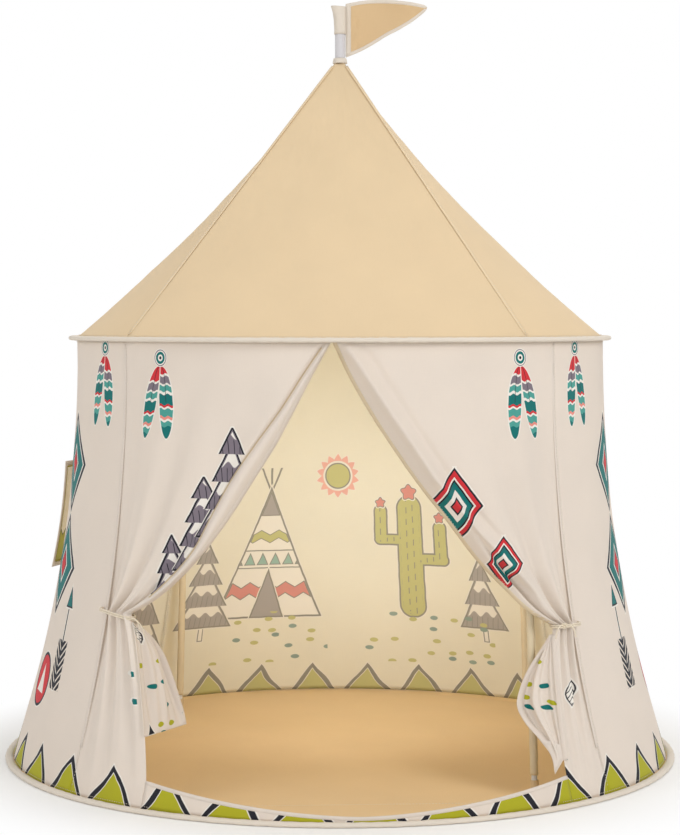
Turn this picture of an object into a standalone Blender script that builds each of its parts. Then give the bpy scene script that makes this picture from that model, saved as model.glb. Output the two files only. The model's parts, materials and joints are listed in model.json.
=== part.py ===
"""A round play tent for children: a cloth wall hung from a hoop, a peaked roof on four poles, a curtained
door, a side window and a flag. Metres, +Z up, the door faces -Y, the origin is on the floor at the middle."""
import math

import bmesh
import bpy
from mathutils import Quaternion, Vector

# Overall sizes in metres. Azimuths are in degrees from the front (-Y), growing towards +X
base_radius = 0.600
eaves_radius = 0.484
eaves_height = 0.7455
peak_height = 1.2345
neck_radius = 0.012
pole_turn = -4.0
right_angle = 90.0
full_turn = 360.0
station_count = 48

# Cloth
cloth_thickness = 0.001
clearance = 0.0003
seam_gap = 0.0005
mat_thickness = 0.0015
flare_power = 2.1
roof_round_power = 0.8
wall_row_count = 7
roof_row_count = 7

# Piping and its hoops
piping_width = 0.014
piping_height = 0.008
piping_flat = 0.006
piping_wall = 0.0007
hoop_rod_radius = 0.003
ferrule_length = 0.044
ferrule_wall = 0.0007
hem_seat_share = 0.25

# Pole frame
tube_radius = 0.005
tube_bore_radius = 0.0039
spigot_radius = 0.0036
spigot_length = 0.035
tube_side_count = 10
leg_top_inset = 0.014
sleeve_fold_gap = 0.0024
leg_split_height = 0.372
joiner_length = 0.080
elbow_reach = 0.030
elbow_bend_count = 6
rafter_depth = 0.0075
foot_cap_wall = 0.0018
foot_cap_floor = 0.003
foot_cap_length = 0.022
sleeve_wall = 0.0012
sleeve_foot_height = 0.030
sleeve_top_drop = 0.050

# Peak hub and flag
flag_tube_radius = 0.009
flag_tube_wall = 0.002
flag_tube_length = 0.091
flag_side_count = 16
collar_height = 0.0100
collar_radius = 0.0115
post_length = 0.050
hub_cloth_gap = 0.003
hub_drop = 0.0395
hub_height = 0.017
hub_neck_drop = 0.010
arm_start = 0.015
arm_reach = 0.052
pennant_length = 0.152
pennant_peak = 0.0125
pennant_tip_height = 0.008
pennant_wave = 0.007
pennant_sleeve_length = 0.049
pennant_sleeve_wall = 0.001
pennant_column_count = 12
pennant_row_count = 4

# Door, its curtains and their ties
left_seam_azimuth = pole_turn - right_angle / 2
right_seam_azimuth = pole_turn + right_angle / 2 + full_turn / station_count
slit_azimuth = -1.0
left_corner_azimuth = -30.5
right_corner_azimuth = 37.5
left_bunch_azimuth = -41.5
right_bunch_azimuth = 42.5
left_tie_height = 0.300
right_tie_height = 0.280
left_straight_share = 0.78
right_straight_share = 0.70
sweep_power = 9.0
sill_corner_height = 0.047
sill_middle_height = 0.0135
sill_rise_power = 1.5
sill_column_count = 10
sill_row_count = 2
curtain_column_count = 18
curtain_upper_row_count = 10
curtain_lower_row_count = 5
fold_depth = 0.007
fold_count = 3
tie_radius = 0.0012
tie_depth = 0.0138
tie_square_power = 0.5
tie_slack = 0.0032
tie_point_count = 12
tie_end_reach = 0.010

# Free tails of the curtains
left_tail_width = 0.108
right_tail_width = 0.072
left_tail_heading = 66.0
right_tail_heading = 22.0
tail_start_share = 0.06
tail_hinge_gap = 0.0012
tail_column_count = 8
tail_wave = 0.006
tail_wave_count = 1.5
left_tail_width_shares = [0.10, 0.27, 0.43, 0.58, 0.74, 0.90, 1.0, 0.66, 0.12]
right_tail_width_shares = [0.22, 0.50, 0.74, 0.92, 1.0, 0.95, 0.70, 0.40, 0.14]
left_tail_end_share = 0.76
right_tail_end_share = 0.90
tail_hem_drop = 0.020

# Window in the left wall, with its flap
window_azimuth = -106.0
window_width = 0.150
window_foot_height = 0.345
window_head_height = 0.495
window_overlap = 0.022
flap_standoff = 0.0018
flap_lift = 0.0025
flap_ajar = 5.5
flap_column_count = 6
flap_row_count = 4

# Helper sizes of the modelling
cut_overrun = 0.040
merge_distance = 0.00001
curve_bevel_resolution = 2
half_share = 0.5

station_step = full_turn / station_count
base_hoop_radius = base_radius - piping_width / 2
eaves_hoop_radius = eaves_radius - piping_width / 2
wall_top_radius = eaves_radius - piping_width - cloth_thickness / 2 - seam_gap
piping_chamfer = (piping_width - piping_flat) / 2
wall_hem_radius = base_hoop_radius - piping_width / 2 + piping_chamfer * hem_seat_share
wall_hem_height = piping_height / 2 * (1 + hem_seat_share) + cloth_thickness / 2 + seam_gap
mat_radius = base_hoop_radius - piping_flat / 2 - piping_chamfer * mat_thickness / (piping_height / 2)
mat_radius = mat_radius - 2 * clearance
wall_top_height = eaves_height - clearance
leg_top_radius = wall_top_radius - leg_top_inset
roof_foot_height = wall_top_height + clearance + cloth_thickness / 2
opening_azimuth = left_seam_azimuth - right_angle
post_radius = flag_tube_radius - flag_tube_wall - clearance
pole_azimuths = [pole_turn + right_angle * (index + half_share) for index in range(-2, 2)]
pole_names = ["back_left", "front_left", "front_right", "back_right"]


def clear_scene():
    for old in list(bpy.data.objects):
        bpy.data.objects.remove(old)


def new_collection(name):
    collection = bpy.data.collections.new(name)
    bpy.context.scene.collection.children.link(collection)
    return collection


clear_scene()
tent = new_collection("play_tent")
cutters = new_collection("cutters")


def finish(name, colour, roughness, metallic=0.0):
    """A plain Principled material."""
    material = bpy.data.materials.new(name)
    material.use_nodes = True
    shader = material.node_tree.nodes["Principled BSDF"]
    shader.inputs["Base Color"].default_value = (*colour, 1.0)
    shader.inputs["Roughness"].default_value = roughness
    shader.inputs["Metallic"].default_value = metallic
    return material


wall_cloth = finish("wall_cloth", (0.79, 0.69, 0.60), 0.9)
roof_cloth = finish("roof_cloth", (0.79, 0.58, 0.37), 0.9)
floor_cloth = finish("floor_cloth", (0.65, 0.42, 0.22), 0.9)
binding_cloth = finish("binding_cloth", (0.84, 0.78, 0.66), 0.85)
flag_cloth = finish("flag_cloth", (0.75, 0.52, 0.29), 0.9)
pole_tube = finish("pole_tube", (0.72, 0.72, 0.72), 0.35)
hoop_rod = finish("hoop_rod", (0.80, 0.80, 0.76), 0.5)
bright_steel = finish("bright_steel", (0.60, 0.60, 0.60), 0.3, 1.0)
connector_plastic = finish("connector_plastic", (0.72, 0.70, 0.68), 0.5)
foot_rubber = finish("foot_rubber", (0.55, 0.54, 0.52), 0.8)
flag_tube_plastic = finish("flag_tube_plastic", (0.63, 0.60, 0.60), 0.4)


def add_object(name, data, material, collection=tent):
    made = bpy.data.objects.new(name, data)
    data.materials.append(material)
    collection.objects.link(made)
    return made


def hide_cutter(cutter):
    cutter.hide_render = True
    cutter.display_type = "WIRE"
    return cutter


def between(start, end, share):
    return start + (end - start) * share


def polar(azimuth, radius, height):
    """A point at an azimuth, a distance from the tent's axis and a height."""
    angle = math.radians(azimuth)
    return Vector((radius * math.sin(angle), -radius * math.cos(angle), height))


def azimuth_of(point):
    return math.degrees(math.atan2(point.x, -point.y))


def facet(azimuth):
    """How far in the flat between two stations lies, as a share of the radius."""
    half_step = station_step / 2
    off_middle = (azimuth - pole_turn - right_angle / 2) % station_step - half_step
    return math.cos(math.radians(half_step)) / math.cos(math.radians(off_middle))


def wall_radius(height):
    """The wall hangs straight under the eaves and flares out to its hem."""
    fall_share = max(0.0, 1 - height / eaves_height)
    return wall_top_radius + (wall_hem_radius - wall_top_radius) * fall_share**flare_power


def wall_point(azimuth, height, standoff=0.0):
    return polar(azimuth, (wall_radius(height) + standoff) * facet(azimuth), height)


def sheet(name, columns, rows, surface, material):
    """A cloth: a grid laid on a surface of (across, up) shares, thickened evenly to both sides."""
    grid = bmesh.new()
    bmesh.ops.create_grid(grid, x_segments=columns, y_segments=rows, size=half_share)
    for vertex in grid.verts:
        vertex.co = surface(vertex.co.x + half_share, vertex.co.y + half_share)
    mesh = bpy.data.meshes.new(name)
    grid.to_mesh(mesh)
    grid.free()
    mesh.shade_smooth()
    made = add_object(name, mesh, material)
    thicken = made.modifiers.new("Cloth", "SOLIDIFY")
    thicken.thickness = cloth_thickness
    thicken.offset = 0.0
    thicken.use_even_offset = True
    return made


def turned(name, profile, place, way, material, ring=False, sides=tube_side_count, collection=tent):
    """A turned piece: (radius, distance along) points that run down its outer side."""
    mesh = bpy.data.meshes.new(name)
    points = [(radius, 0.0, along) for radius, along in profile]
    edges = [(index, index + 1) for index in range(len(points) - 1)]
    if ring:
        edges.append((len(points) - 1, 0))
    mesh.from_pydata(points, edges, [])
    made = add_object(name, mesh, material, collection)
    turn = made.modifiers.new("Turn", "SCREW")
    turn.steps = sides
    turn.render_steps = sides
    turn.use_merge_vertices = True
    turn.merge_threshold = merge_distance
    made.location = place
    made.rotation_mode = "QUATERNION"
    made.rotation_quaternion = way.to_track_quat("Z", "Y")
    return made


def tube(name, outer, bore, start, end, material, sides=tube_side_count):
    """A straight tube between two points."""
    length = (end - start).length
    profile = [(outer, length), (outer, 0.0), (bore, 0.0), (bore, length)]
    return turned(name, profile, start, end - start, material, True, sides)


def pin(name, radius, start, end, material):
    length = (end - start).length
    profile = [(0.0, length), (radius, length), (radius, 0.0), (0.0, 0.0)]
    return turned(name, profile, start, end - start, material)


def rod(name, points, radius, material, radii=None):
    """A bent rod along points, with its own radius at each where they are given."""
    curve = bpy.data.curves.new(name, "CURVE")
    curve.dimensions = "3D"
    curve.bevel_depth = radius
    curve.bevel_resolution = curve_bevel_resolution
    curve.use_fill_caps = True
    spline = curve.splines.new("POLY")
    spline.points.add(len(points) - 1)
    for index, point in enumerate(points):
        spline.points[index].co = (*point, 1.0)
        if radii:
            spline.points[index].radius = radii[index] / radius
    return add_object(name, curve, material)


def build_floor():
    bpy.ops.mesh.primitive_cylinder_add(vertices=station_count, radius=mat_radius, depth=mat_thickness)
    mat = bpy.context.object
    mat.name = "floor_mat"
    mat.data.name = "floor_mat"
    mat.location = (0.0, 0.0, mat_thickness / 2)
    mat.rotation_euler = (0.0, 0.0, math.radians(pole_turn + right_angle / 2))
    mat.data.materials.append(floor_cloth)
    for collection in list(mat.users_collection):
        collection.objects.unlink(mat)
    tent.objects.link(mat)


def build_piping(name, hoop_radius, height):
    """A hollow cloth roll over the hoop, open at the back where the hoop's ends meet in the ferrule."""
    half_width = piping_width / 2
    half_height = piping_height / 2
    half_flat = piping_flat / 2
    section = [
        (half_width, 0.0),
        (half_flat, -half_height),
        (-half_flat, -half_height),
        (-half_width, 0.0),
        (-half_flat, half_height),
        (half_flat, half_height),
    ]
    mesh = bpy.data.meshes.new(name)
    points = [(hoop_radius + out, 0.0, up) for out, up in section]
    edges = [(index, (index + 1) % len(points)) for index in range(len(points))]
    mesh.from_pydata(points, edges, [])
    piping = add_object(name, mesh, binding_cloth)
    sweep = piping.modifiers.new("Sweep", "SCREW")
    sweep.steps = station_count - 1
    sweep.render_steps = sweep.steps
    sweep.angle = math.radians(full_turn - station_step)
    roll = piping.modifiers.new("Roll", "SOLIDIFY")
    roll.thickness = piping_wall
    roll.offset = -1.0
    roll.use_even_offset = True
    piping.location = (0.0, 0.0, height)
    piping.rotation_euler = (0.0, 0.0, math.radians(opening_azimuth - right_angle))


def build_hoop(name, hoop_radius, height):
    """The springy rod, one full circle, whose two ends meet in a ferrule in the piping's opening."""
    azimuths = [opening_azimuth + station_step * index for index in range(station_count)]
    corners = [polar(azimuth, hoop_radius, height) for azimuth in azimuths]
    meeting = between(corners[-1], corners[0], half_share)
    way = (corners[0] - corners[-1]).normalized()
    path = [meeting + way * clearance, *corners, meeting - way * clearance]
    rod(name + "_hoop", path, hoop_rod_radius, hoop_rod)
    bore = hoop_rod_radius + clearance
    reach = way * ferrule_length / 2
    tube(name + "_hoop_ferrule", bore + ferrule_wall, bore, meeting - reach, meeting + reach, bright_steel)


def build_walls():
    panels = {
        "left_wall": (left_seam_azimuth - right_angle, left_seam_azimuth),
        "back_wall": (right_seam_azimuth + right_angle - station_step, left_seam_azimuth + 3 * right_angle),
        "right_wall": (right_seam_azimuth, right_seam_azimuth + right_angle - station_step),
    }
    made = {}
    for name, (first, last) in panels.items():
        gap = math.degrees(seam_gap / 2 / wall_top_radius)

        def surface(across, up, first=first, last=last):
            azimuth = between(first, last, across)
            azimuth += gap * (1 - 2 * across)
            return wall_point(azimuth, between(wall_hem_height, wall_top_height, up))

        columns = round((last - first) / station_step)
        made[name] = sheet(name, columns, wall_row_count, surface, wall_cloth)
    return made


def build_window(wall):
    """A hole in the left wall and the cloth flap that hangs ajar outside it."""
    middle_height = between(window_foot_height, window_head_height, half_share)
    bpy.ops.mesh.primitive_cube_add(size=1)
    cutter = bpy.context.object
    cutter.name = "window_cutter"
    for collection in list(cutter.users_collection):
        collection.objects.unlink(cutter)
    cutters.objects.link(cutter)
    cutter.scale = (window_width, 2 * cut_overrun, window_head_height - window_foot_height)
    cutter.rotation_euler = (0.0, 0.0, math.radians(window_azimuth))
    cutter.location = wall_point(window_azimuth, middle_height)
    hide_cutter(cutter)
    cut = wall.modifiers.new("Window", "BOOLEAN")
    cut.operation = "DIFFERENCE"
    cut.object = cutter

    half_turn = math.degrees((window_width / 2 + window_overlap) / wall_radius(middle_height))
    foot = window_foot_height - window_overlap
    head = window_head_height + window_overlap
    hinge_azimuth = window_azimuth - half_turn
    hinge_foot = wall_point(hinge_azimuth, foot, flap_standoff)
    hinge_head = wall_point(hinge_azimuth, head, flap_standoff)
    swing = Quaternion(hinge_head - hinge_foot, math.radians(-flap_ajar))
    pivot = bpy.data.objects.new("window_flap_hinge", None)
    pivot.location = hinge_foot
    tent.objects.link(pivot)

    def surface(across, up):
        azimuth = between(hinge_azimuth, window_azimuth + half_turn, across)
        lift = flap_lift * min(1.0, across * flap_column_count)
        closed = wall_point(azimuth, between(foot, head, up), flap_standoff + lift)
        return swing @ (closed - hinge_foot)

    flap = sheet("window_flap", flap_column_count, flap_row_count, surface, wall_cloth)
    flap.parent = pivot


def curtain_edge(side, height):
    """Where the curtain's free edge lies at a height: its azimuth and its distance from the axis."""
    if height >= side["tie_height"]:
        fall_share = (wall_top_height - height) / (wall_top_height - side["tie_height"])
        straight = side["straight_share"]
        sweep_share = straight * fall_share + (1 - straight) * fall_share**sweep_power
        azimuth = between(slit_azimuth, side["bunch"], sweep_share)
        return azimuth, wall_radius(height) * facet(azimuth)
    if height >= sill_corner_height:
        share = (side["tie_height"] - height) / (side["tie_height"] - sill_corner_height)
        point = between(side["tie_point"], side["corner_point"], share)
        return azimuth_of(point), Vector((point.x, point.y)).length
    return side["corner"], wall_radius(height) * facet(side["corner"])


def build_curtain(side):
    """Half of the front cloth: the curtain down to its tie, and the fixed side of the door below it."""
    rows = curtain_upper_row_count + curtain_lower_row_count
    tie_row = curtain_lower_row_count / rows
    gap = math.degrees(seam_gap / 2 / wall_top_radius) * side["sign"]

    def surface(across, up):
        if up >= tie_row:
            rise = (up - tie_row) / (1 - tie_row)
            height = between(side["tie_height"], wall_top_height, rise)
            gather = 1 - rise
        else:
            rise = up / tie_row
            height = between(wall_hem_height, side["tie_height"], rise)
            gather = rise
        edge_azimuth, edge_radius = curtain_edge(side, height)
        seam_azimuth = side["seam"] - gap
        seam_radius = wall_radius(height) * facet(seam_azimuth)
        from_seam = across if side["sign"] < 0 else 1 - across
        azimuth = between(seam_azimuth, edge_azimuth + gap, from_seam)
        radius = wall_radius(height) * facet(azimuth)
        if height < side["tie_height"]:
            radius = between(seam_radius, edge_radius, from_seam)
        fold = fold_depth * gather * math.sin(2 * math.pi * fold_count * from_seam)
        return polar(azimuth, radius - fold, height)

    sheet(side["name"] + "_curtain", curtain_column_count, rows, surface, wall_cloth)


def build_tail(side):
    """The free corner of the curtain below its tie, hinged on the line from the tie to the sill's corner."""
    start = side["tie_point"]
    hinge = side["corner_point"] - start
    rows = len(side["tail_shares"]) - 1
    heading = math.radians(side["tail_heading"])
    out = Vector((-side["sign"] * math.cos(heading), math.sin(heading), 0.0))
    hinge_way = hinge.normalized()
    out = (out - hinge_way * out.dot(hinge_way)).normalized()
    face = hinge_way.cross(out) * side["sign"]
    pivot = bpy.data.objects.new(side["name"] + "_tail_hinge", None)
    pivot.location = start
    tent.objects.link(pivot)

    def surface(across, up):
        down = 1 - up
        from_hinge = across if side["sign"] < 0 else 1 - across
        along_share = between(tail_start_share, side["tail_end"], down)
        width = side["tail_width"] * side["tail_shares"][round(down * rows)]
        wave = tail_wave * math.sin(2 * math.pi * tail_wave_count * from_hinge) * math.sin(math.pi * down)
        hem = tail_hem_drop * from_hinge * down
        at_hinge = hinge * along_share
        reach = tail_hinge_gap + (width - tail_hinge_gap) * from_hinge
        return at_hinge + out * reach + face * wave - Vector((0.0, 0.0, hem))

    tail = sheet(side["name"] + "_curtain_tail", tail_column_count, rows, surface, wall_cloth)
    tail.parent = pivot


def build_tie(side):
    """A cord loop from the seam round the bunched cloth and back inside."""
    height = side["tie_height"]
    radius = wall_radius(height)
    bunch_width = math.radians(abs(side["bunch"] - side["seam"])) * radius
    reach = bunch_width + tie_slack + tie_radius
    end_standoff = cloth_thickness / 2 + clearance + tie_radius
    seam_side = math.degrees(tie_end_reach / radius) * side["sign"]
    points = [wall_point(side["seam"] + seam_side, height, end_standoff)]
    for index in range(tie_point_count + 1):
        angle = math.pi * (half_share - index / tie_point_count)
        along = math.degrees(reach * math.cos(angle) / radius) * -side["sign"]
        depth = math.copysign(tie_depth * abs(math.sin(angle)) ** tie_square_power, angle)
        points.append(wall_point(side["seam"] + along, height, depth))
    points.append(wall_point(side["seam"] + seam_side, height, -end_standoff))
    rod(side["name"] + "_tie", points, tie_radius, binding_cloth)


def build_sill():
    gap = math.degrees(seam_gap / wall_hem_radius)
    middle = between(left_corner_azimuth, right_corner_azimuth, half_share)
    reach = right_corner_azimuth - middle

    def surface(across, up):
        azimuth = between(left_corner_azimuth + gap, right_corner_azimuth - gap, across)
        off_share = abs(azimuth - middle) / reach
        top = between(sill_middle_height, sill_corner_height, off_share**sill_rise_power)
        return wall_point(azimuth, between(wall_hem_height, top, up))

    sheet("door_sill", sill_column_count, sill_row_count, surface, wall_cloth)


def build_door():
    sides = [
        {
            "name": "left",
            "sign": -1,
            "seam": left_seam_azimuth,
            "corner": left_corner_azimuth,
            "bunch": left_bunch_azimuth,
            "tie_height": left_tie_height,
            "straight_share": left_straight_share,
            "tail_width": left_tail_width,
            "tail_heading": left_tail_heading,
            "tail_shares": left_tail_width_shares,
            "tail_end": left_tail_end_share,
        },
        {
            "name": "right",
            "sign": 1,
            "seam": right_seam_azimuth,
            "corner": right_corner_azimuth,
            "bunch": right_bunch_azimuth,
            "tie_height": right_tie_height,
            "straight_share": right_straight_share,
            "tail_width": right_tail_width,
            "tail_heading": right_tail_heading,
            "tail_shares": right_tail_width_shares,
            "tail_end": right_tail_end_share,
        },
    ]
    for side in sides:
        side["tie_point"] = wall_point(side["bunch"], side["tie_height"])
        side["corner_point"] = wall_point(side["corner"], sill_corner_height)
        build_curtain(side)
        build_tail(side)
        build_tie(side)
    build_sill()


def build_roof():
    """Four panels between the rafters: square in plan at the peak, round at the eaves."""
    seam_foot_radius = wall_top_radius
    inset = math.degrees(seam_gap)
    for name, pole in zip(["left", "front", "right", "back"], pole_azimuths):
        middle = pole + right_angle / 2

        def surface(across, up, middle=middle):
            fall = 1 - up
            off = (across - half_share) * right_angle
            height = between(peak_height, roof_foot_height, fall)
            pole_radius = between(neck_radius, seam_foot_radius, fall)
            off += inset * (1 - 2 * across) / pole_radius
            round_share = fall**roof_round_power
            straight = math.cos(math.radians(right_angle / 2)) / math.cos(math.radians(off))
            shape = between(straight, facet(middle + off), round_share)
            return polar(middle + off, pole_radius * shape, height)

        columns = round(right_angle / station_step)
        sheet("roof_" + name, columns, roof_row_count, surface, roof_cloth)


def crossing(point, way, other_point, other_way):
    """How far along the first line, in (radius, height), the second one crosses it."""
    offset = other_point - point
    return (offset.x * other_way.y - offset.y * other_way.x) / (way.x * other_way.y - way.y * other_way.x)


def leg_foot_radius():
    """How far out a straight leg's foot can stand, with its sleeve clear of the curtains' folds above a tie."""
    tie_height = max(left_tie_height, right_tie_height)
    sleeve_reach = tube_radius + clearance + sleeve_wall + cloth_thickness / 2 + sleeve_fold_gap
    feet = []
    for row in range(curtain_upper_row_count):
        rise = row / curtain_upper_row_count
        height = between(tie_height, wall_top_height, rise)
        free_radius = wall_radius(height) - fold_depth * (1 - rise) - sleeve_reach
        feet.append(between(leg_top_radius, free_radius, eaves_height / (eaves_height - height)))
    return min(feet)


def frame_lines():
    """The leg's and the rafter's axes in (radius, height), and where they would meet."""
    foot_radius = leg_foot_radius()
    leg_way = (Vector((leg_top_radius, eaves_height)) - Vector((foot_radius, 0.0))).normalized()
    cap_drop = (tube_radius + clearance + foot_cap_wall) * abs(leg_way.x)
    foot = Vector((foot_radius, mat_thickness + clearance + cap_drop))
    seam_top = Vector((neck_radius, peak_height))
    seam_foot = Vector((wall_top_radius, roof_foot_height))
    rafter_way = (seam_foot - seam_top).normalized()
    inward = Vector((rafter_way.y, -rafter_way.x))
    rafter_top = seam_top + inward * rafter_depth
    corner = foot + leg_way * crossing(foot, leg_way, rafter_top, rafter_way)
    return foot, leg_way, rafter_top, rafter_way, corner


def build_pole(name, azimuth):
    """One leg in two tubes, its foot cap, sleeve and elbow, and the rafter above it."""
    foot, leg_way, rafter_top, rafter_way, corner = frame_lines()

    def place(flat_point):
        return polar(azimuth, flat_point.x, flat_point.y)

    cap_outer = tube_radius + clearance + foot_cap_wall
    cap_profile = [
        (0.0, foot_cap_floor),
        (tube_radius + clearance, foot_cap_floor),
        (tube_radius + clearance, foot_cap_length),
        (cap_outer, foot_cap_length),
        (cap_outer, 0.0),
        (0.0, 0.0),
    ]
    up = place(foot + leg_way) - place(foot)
    turned("foot_cap_" + name, cap_profile, place(foot), up, foot_rubber)

    leg_start = foot + leg_way * (foot_cap_floor + clearance)
    split = foot + leg_way * (leg_split_height / leg_way.y)
    shoulder = corner - leg_way * elbow_reach
    leg_end = shoulder - leg_way * 2 * clearance
    joint_gap = leg_way * clearance / 2
    lower = (place(leg_start), place(split - joint_gap))
    upper = (place(split + joint_gap), place(leg_end))
    tube("leg_lower_" + name, tube_radius, tube_bore_radius, *lower, pole_tube)
    tube("leg_upper_" + name, tube_radius, tube_bore_radius, *upper, pole_tube)
    reach = leg_way * joiner_length / 2
    pin("leg_joiner_" + name, spigot_radius, place(split - reach), place(split + reach), bright_steel)

    sleeve_bore = tube_radius + clearance
    sleeve_start = foot + leg_way * sleeve_foot_height
    sleeve_end = corner - leg_way * sleeve_top_drop
    sleeve_outer = sleeve_bore + sleeve_wall
    tube("pole_sleeve_" + name, sleeve_outer, sleeve_bore, place(sleeve_start), place(sleeve_end), wall_cloth)

    rafter_shoulder = corner - rafter_way * elbow_reach
    path = [shoulder - leg_way * spigot_length, shoulder - leg_way * clearance]
    radii = [spigot_radius, spigot_radius]
    for index in range(elbow_bend_count + 1):
        share = index / elbow_bend_count
        rise = between(shoulder, corner, share)
        run = between(corner, rafter_shoulder, share)
        path.append(between(rise, run, share))
        radii.append(tube_radius)
    path += [rafter_shoulder - rafter_way * clearance, rafter_shoulder - rafter_way * spigot_length]
    radii += [spigot_radius, spigot_radius]
    rod("eaves_elbow_" + name, [place(point) for point in path], tube_radius, connector_plastic, radii)

    rafter_start = rafter_shoulder - rafter_way * 2 * clearance
    rafter_end = rafter_top + rafter_way * (arm_reach + clearance)
    tube("rafter_" + name, tube_radius, tube_bore_radius, place(rafter_start), place(rafter_end), pole_tube)


def join(made, other):
    union = made.modifiers.new("Join", "BOOLEAN")
    union.operation = "UNION"
    union.object = hide_cutter(other)


def hub_radius(drop):
    """The hub's cone runs along the middles of the roof panels, a gap inside them."""
    pole_radius = between(neck_radius, wall_top_radius, drop / (peak_height - roof_foot_height))
    middle_radius = pole_radius * math.cos(math.radians(right_angle / 2))
    return middle_radius - cloth_thickness / 2 - hub_cloth_gap


def build_hub():
    """The peak hub: a turned body with a post for the flag tube and an arm into each rafter."""
    _, _, rafter_top, rafter_way, _ = frame_lines()
    post_top = peak_height + collar_height + post_length
    profile = [
        (0.0, post_top),
        (post_radius, post_top),
        (post_radius, peak_height - hub_neck_drop),
        (hub_radius(hub_neck_drop), peak_height - hub_neck_drop),
        (hub_radius(hub_drop), peak_height - hub_drop),
        (hub_radius(hub_drop), peak_height - hub_drop - hub_height),
        (0.0, peak_height - hub_drop - hub_height),
    ]
    upright = Vector((0.0, 0.0, 1.0))
    axis_foot = Vector((0.0, 0.0, 0.0))
    hub = turned("peak_hub", profile, axis_foot, upright, connector_plastic, sides=flag_side_count)
    arm_profile = [
        (0.0, arm_reach + spigot_length),
        (spigot_radius, arm_reach + spigot_length),
        (spigot_radius, arm_reach),
        (tube_radius, arm_reach),
        (tube_radius, arm_start),
        (0.0, arm_start),
    ]
    for name, azimuth in zip(pole_names, pole_azimuths):
        top = polar(azimuth, rafter_top.x, rafter_top.y)
        way = polar(azimuth, rafter_top.x + rafter_way.x, rafter_top.y + rafter_way.y) - top
        arm = turned("hub_arm_" + name, arm_profile, top, way, connector_plastic, collection=cutters)
        join(hub, arm)


def build_flag():
    """The collar on the roof's neck, the tube on the hub's post, and the pennant on its sleeve."""
    axis_foot = Vector((0.0, 0.0, peak_height + cloth_thickness / 2 + clearance))
    collar_top = Vector((0.0, 0.0, peak_height + collar_height))
    collar_bore = post_radius + clearance
    tube("peak_collar", collar_radius, collar_bore, axis_foot, collar_top, binding_cloth, flag_side_count)
    tube_foot = collar_top + Vector((0.0, 0.0, clearance))
    tube_top = tube_foot + Vector((0.0, 0.0, flag_tube_length))
    bore = flag_tube_radius - flag_tube_wall
    tube("flag_tube", flag_tube_radius, bore, tube_foot, tube_top, flag_tube_plastic, flag_side_count)

    sleeve_bore = flag_tube_radius + clearance
    sleeve_outer = sleeve_bore + pennant_sleeve_wall
    sleeve_foot = tube_top - Vector((0.0, 0.0, pennant_sleeve_length))
    tube("flag_sleeve", sleeve_outer, sleeve_bore, sleeve_foot, tube_top, binding_cloth, flag_side_count)
    hoist = sleeve_outer + clearance

    def surface(across, up):
        foot = between(tube_foot.z, tube_top.z - pennant_tip_height, across)
        head = tube_top.z + pennant_peak * math.sin(math.pi * across)
        sway = pennant_wave * math.sin(2 * math.pi * across) * across
        return Vector((hoist + pennant_length * across, sway, between(foot, head, up)))

    sheet("flag_pennant", pennant_column_count, pennant_row_count, surface, flag_cloth)


build_floor()
build_piping("base_piping", base_hoop_radius, piping_height / 2)
build_piping("eaves_piping", eaves_hoop_radius, eaves_height)
build_hoop("base", base_hoop_radius, piping_height / 2)
build_hoop("eaves", eaves_hoop_radius, eaves_height)
walls = build_walls()
build_window(walls["left_wall"])
build_door()
build_roof()
for pole_name, pole_azimuth in zip(pole_names, pole_azimuths):
    build_pole(pole_name, pole_azimuth)
build_hub()
build_flag()
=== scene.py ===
# %% [markdown]
# # A round play tent in cloth
# The tent is a cloth wall that hangs from a springy hoop, a peaked roof over four rafters, a door with two
# curtains tied back, a window with a flap, and a small flag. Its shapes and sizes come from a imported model,
# which this lesson loads first. Every cloth is then made again as a fine sheet with its print, seams and
# stitches, and the rods, tubes and plastic parts keep their meshes and get better finishes.
# All lengths are in metres. The door faces -Y, and azimuths are degrees from there towards +X.

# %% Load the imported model
import json
import math

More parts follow.
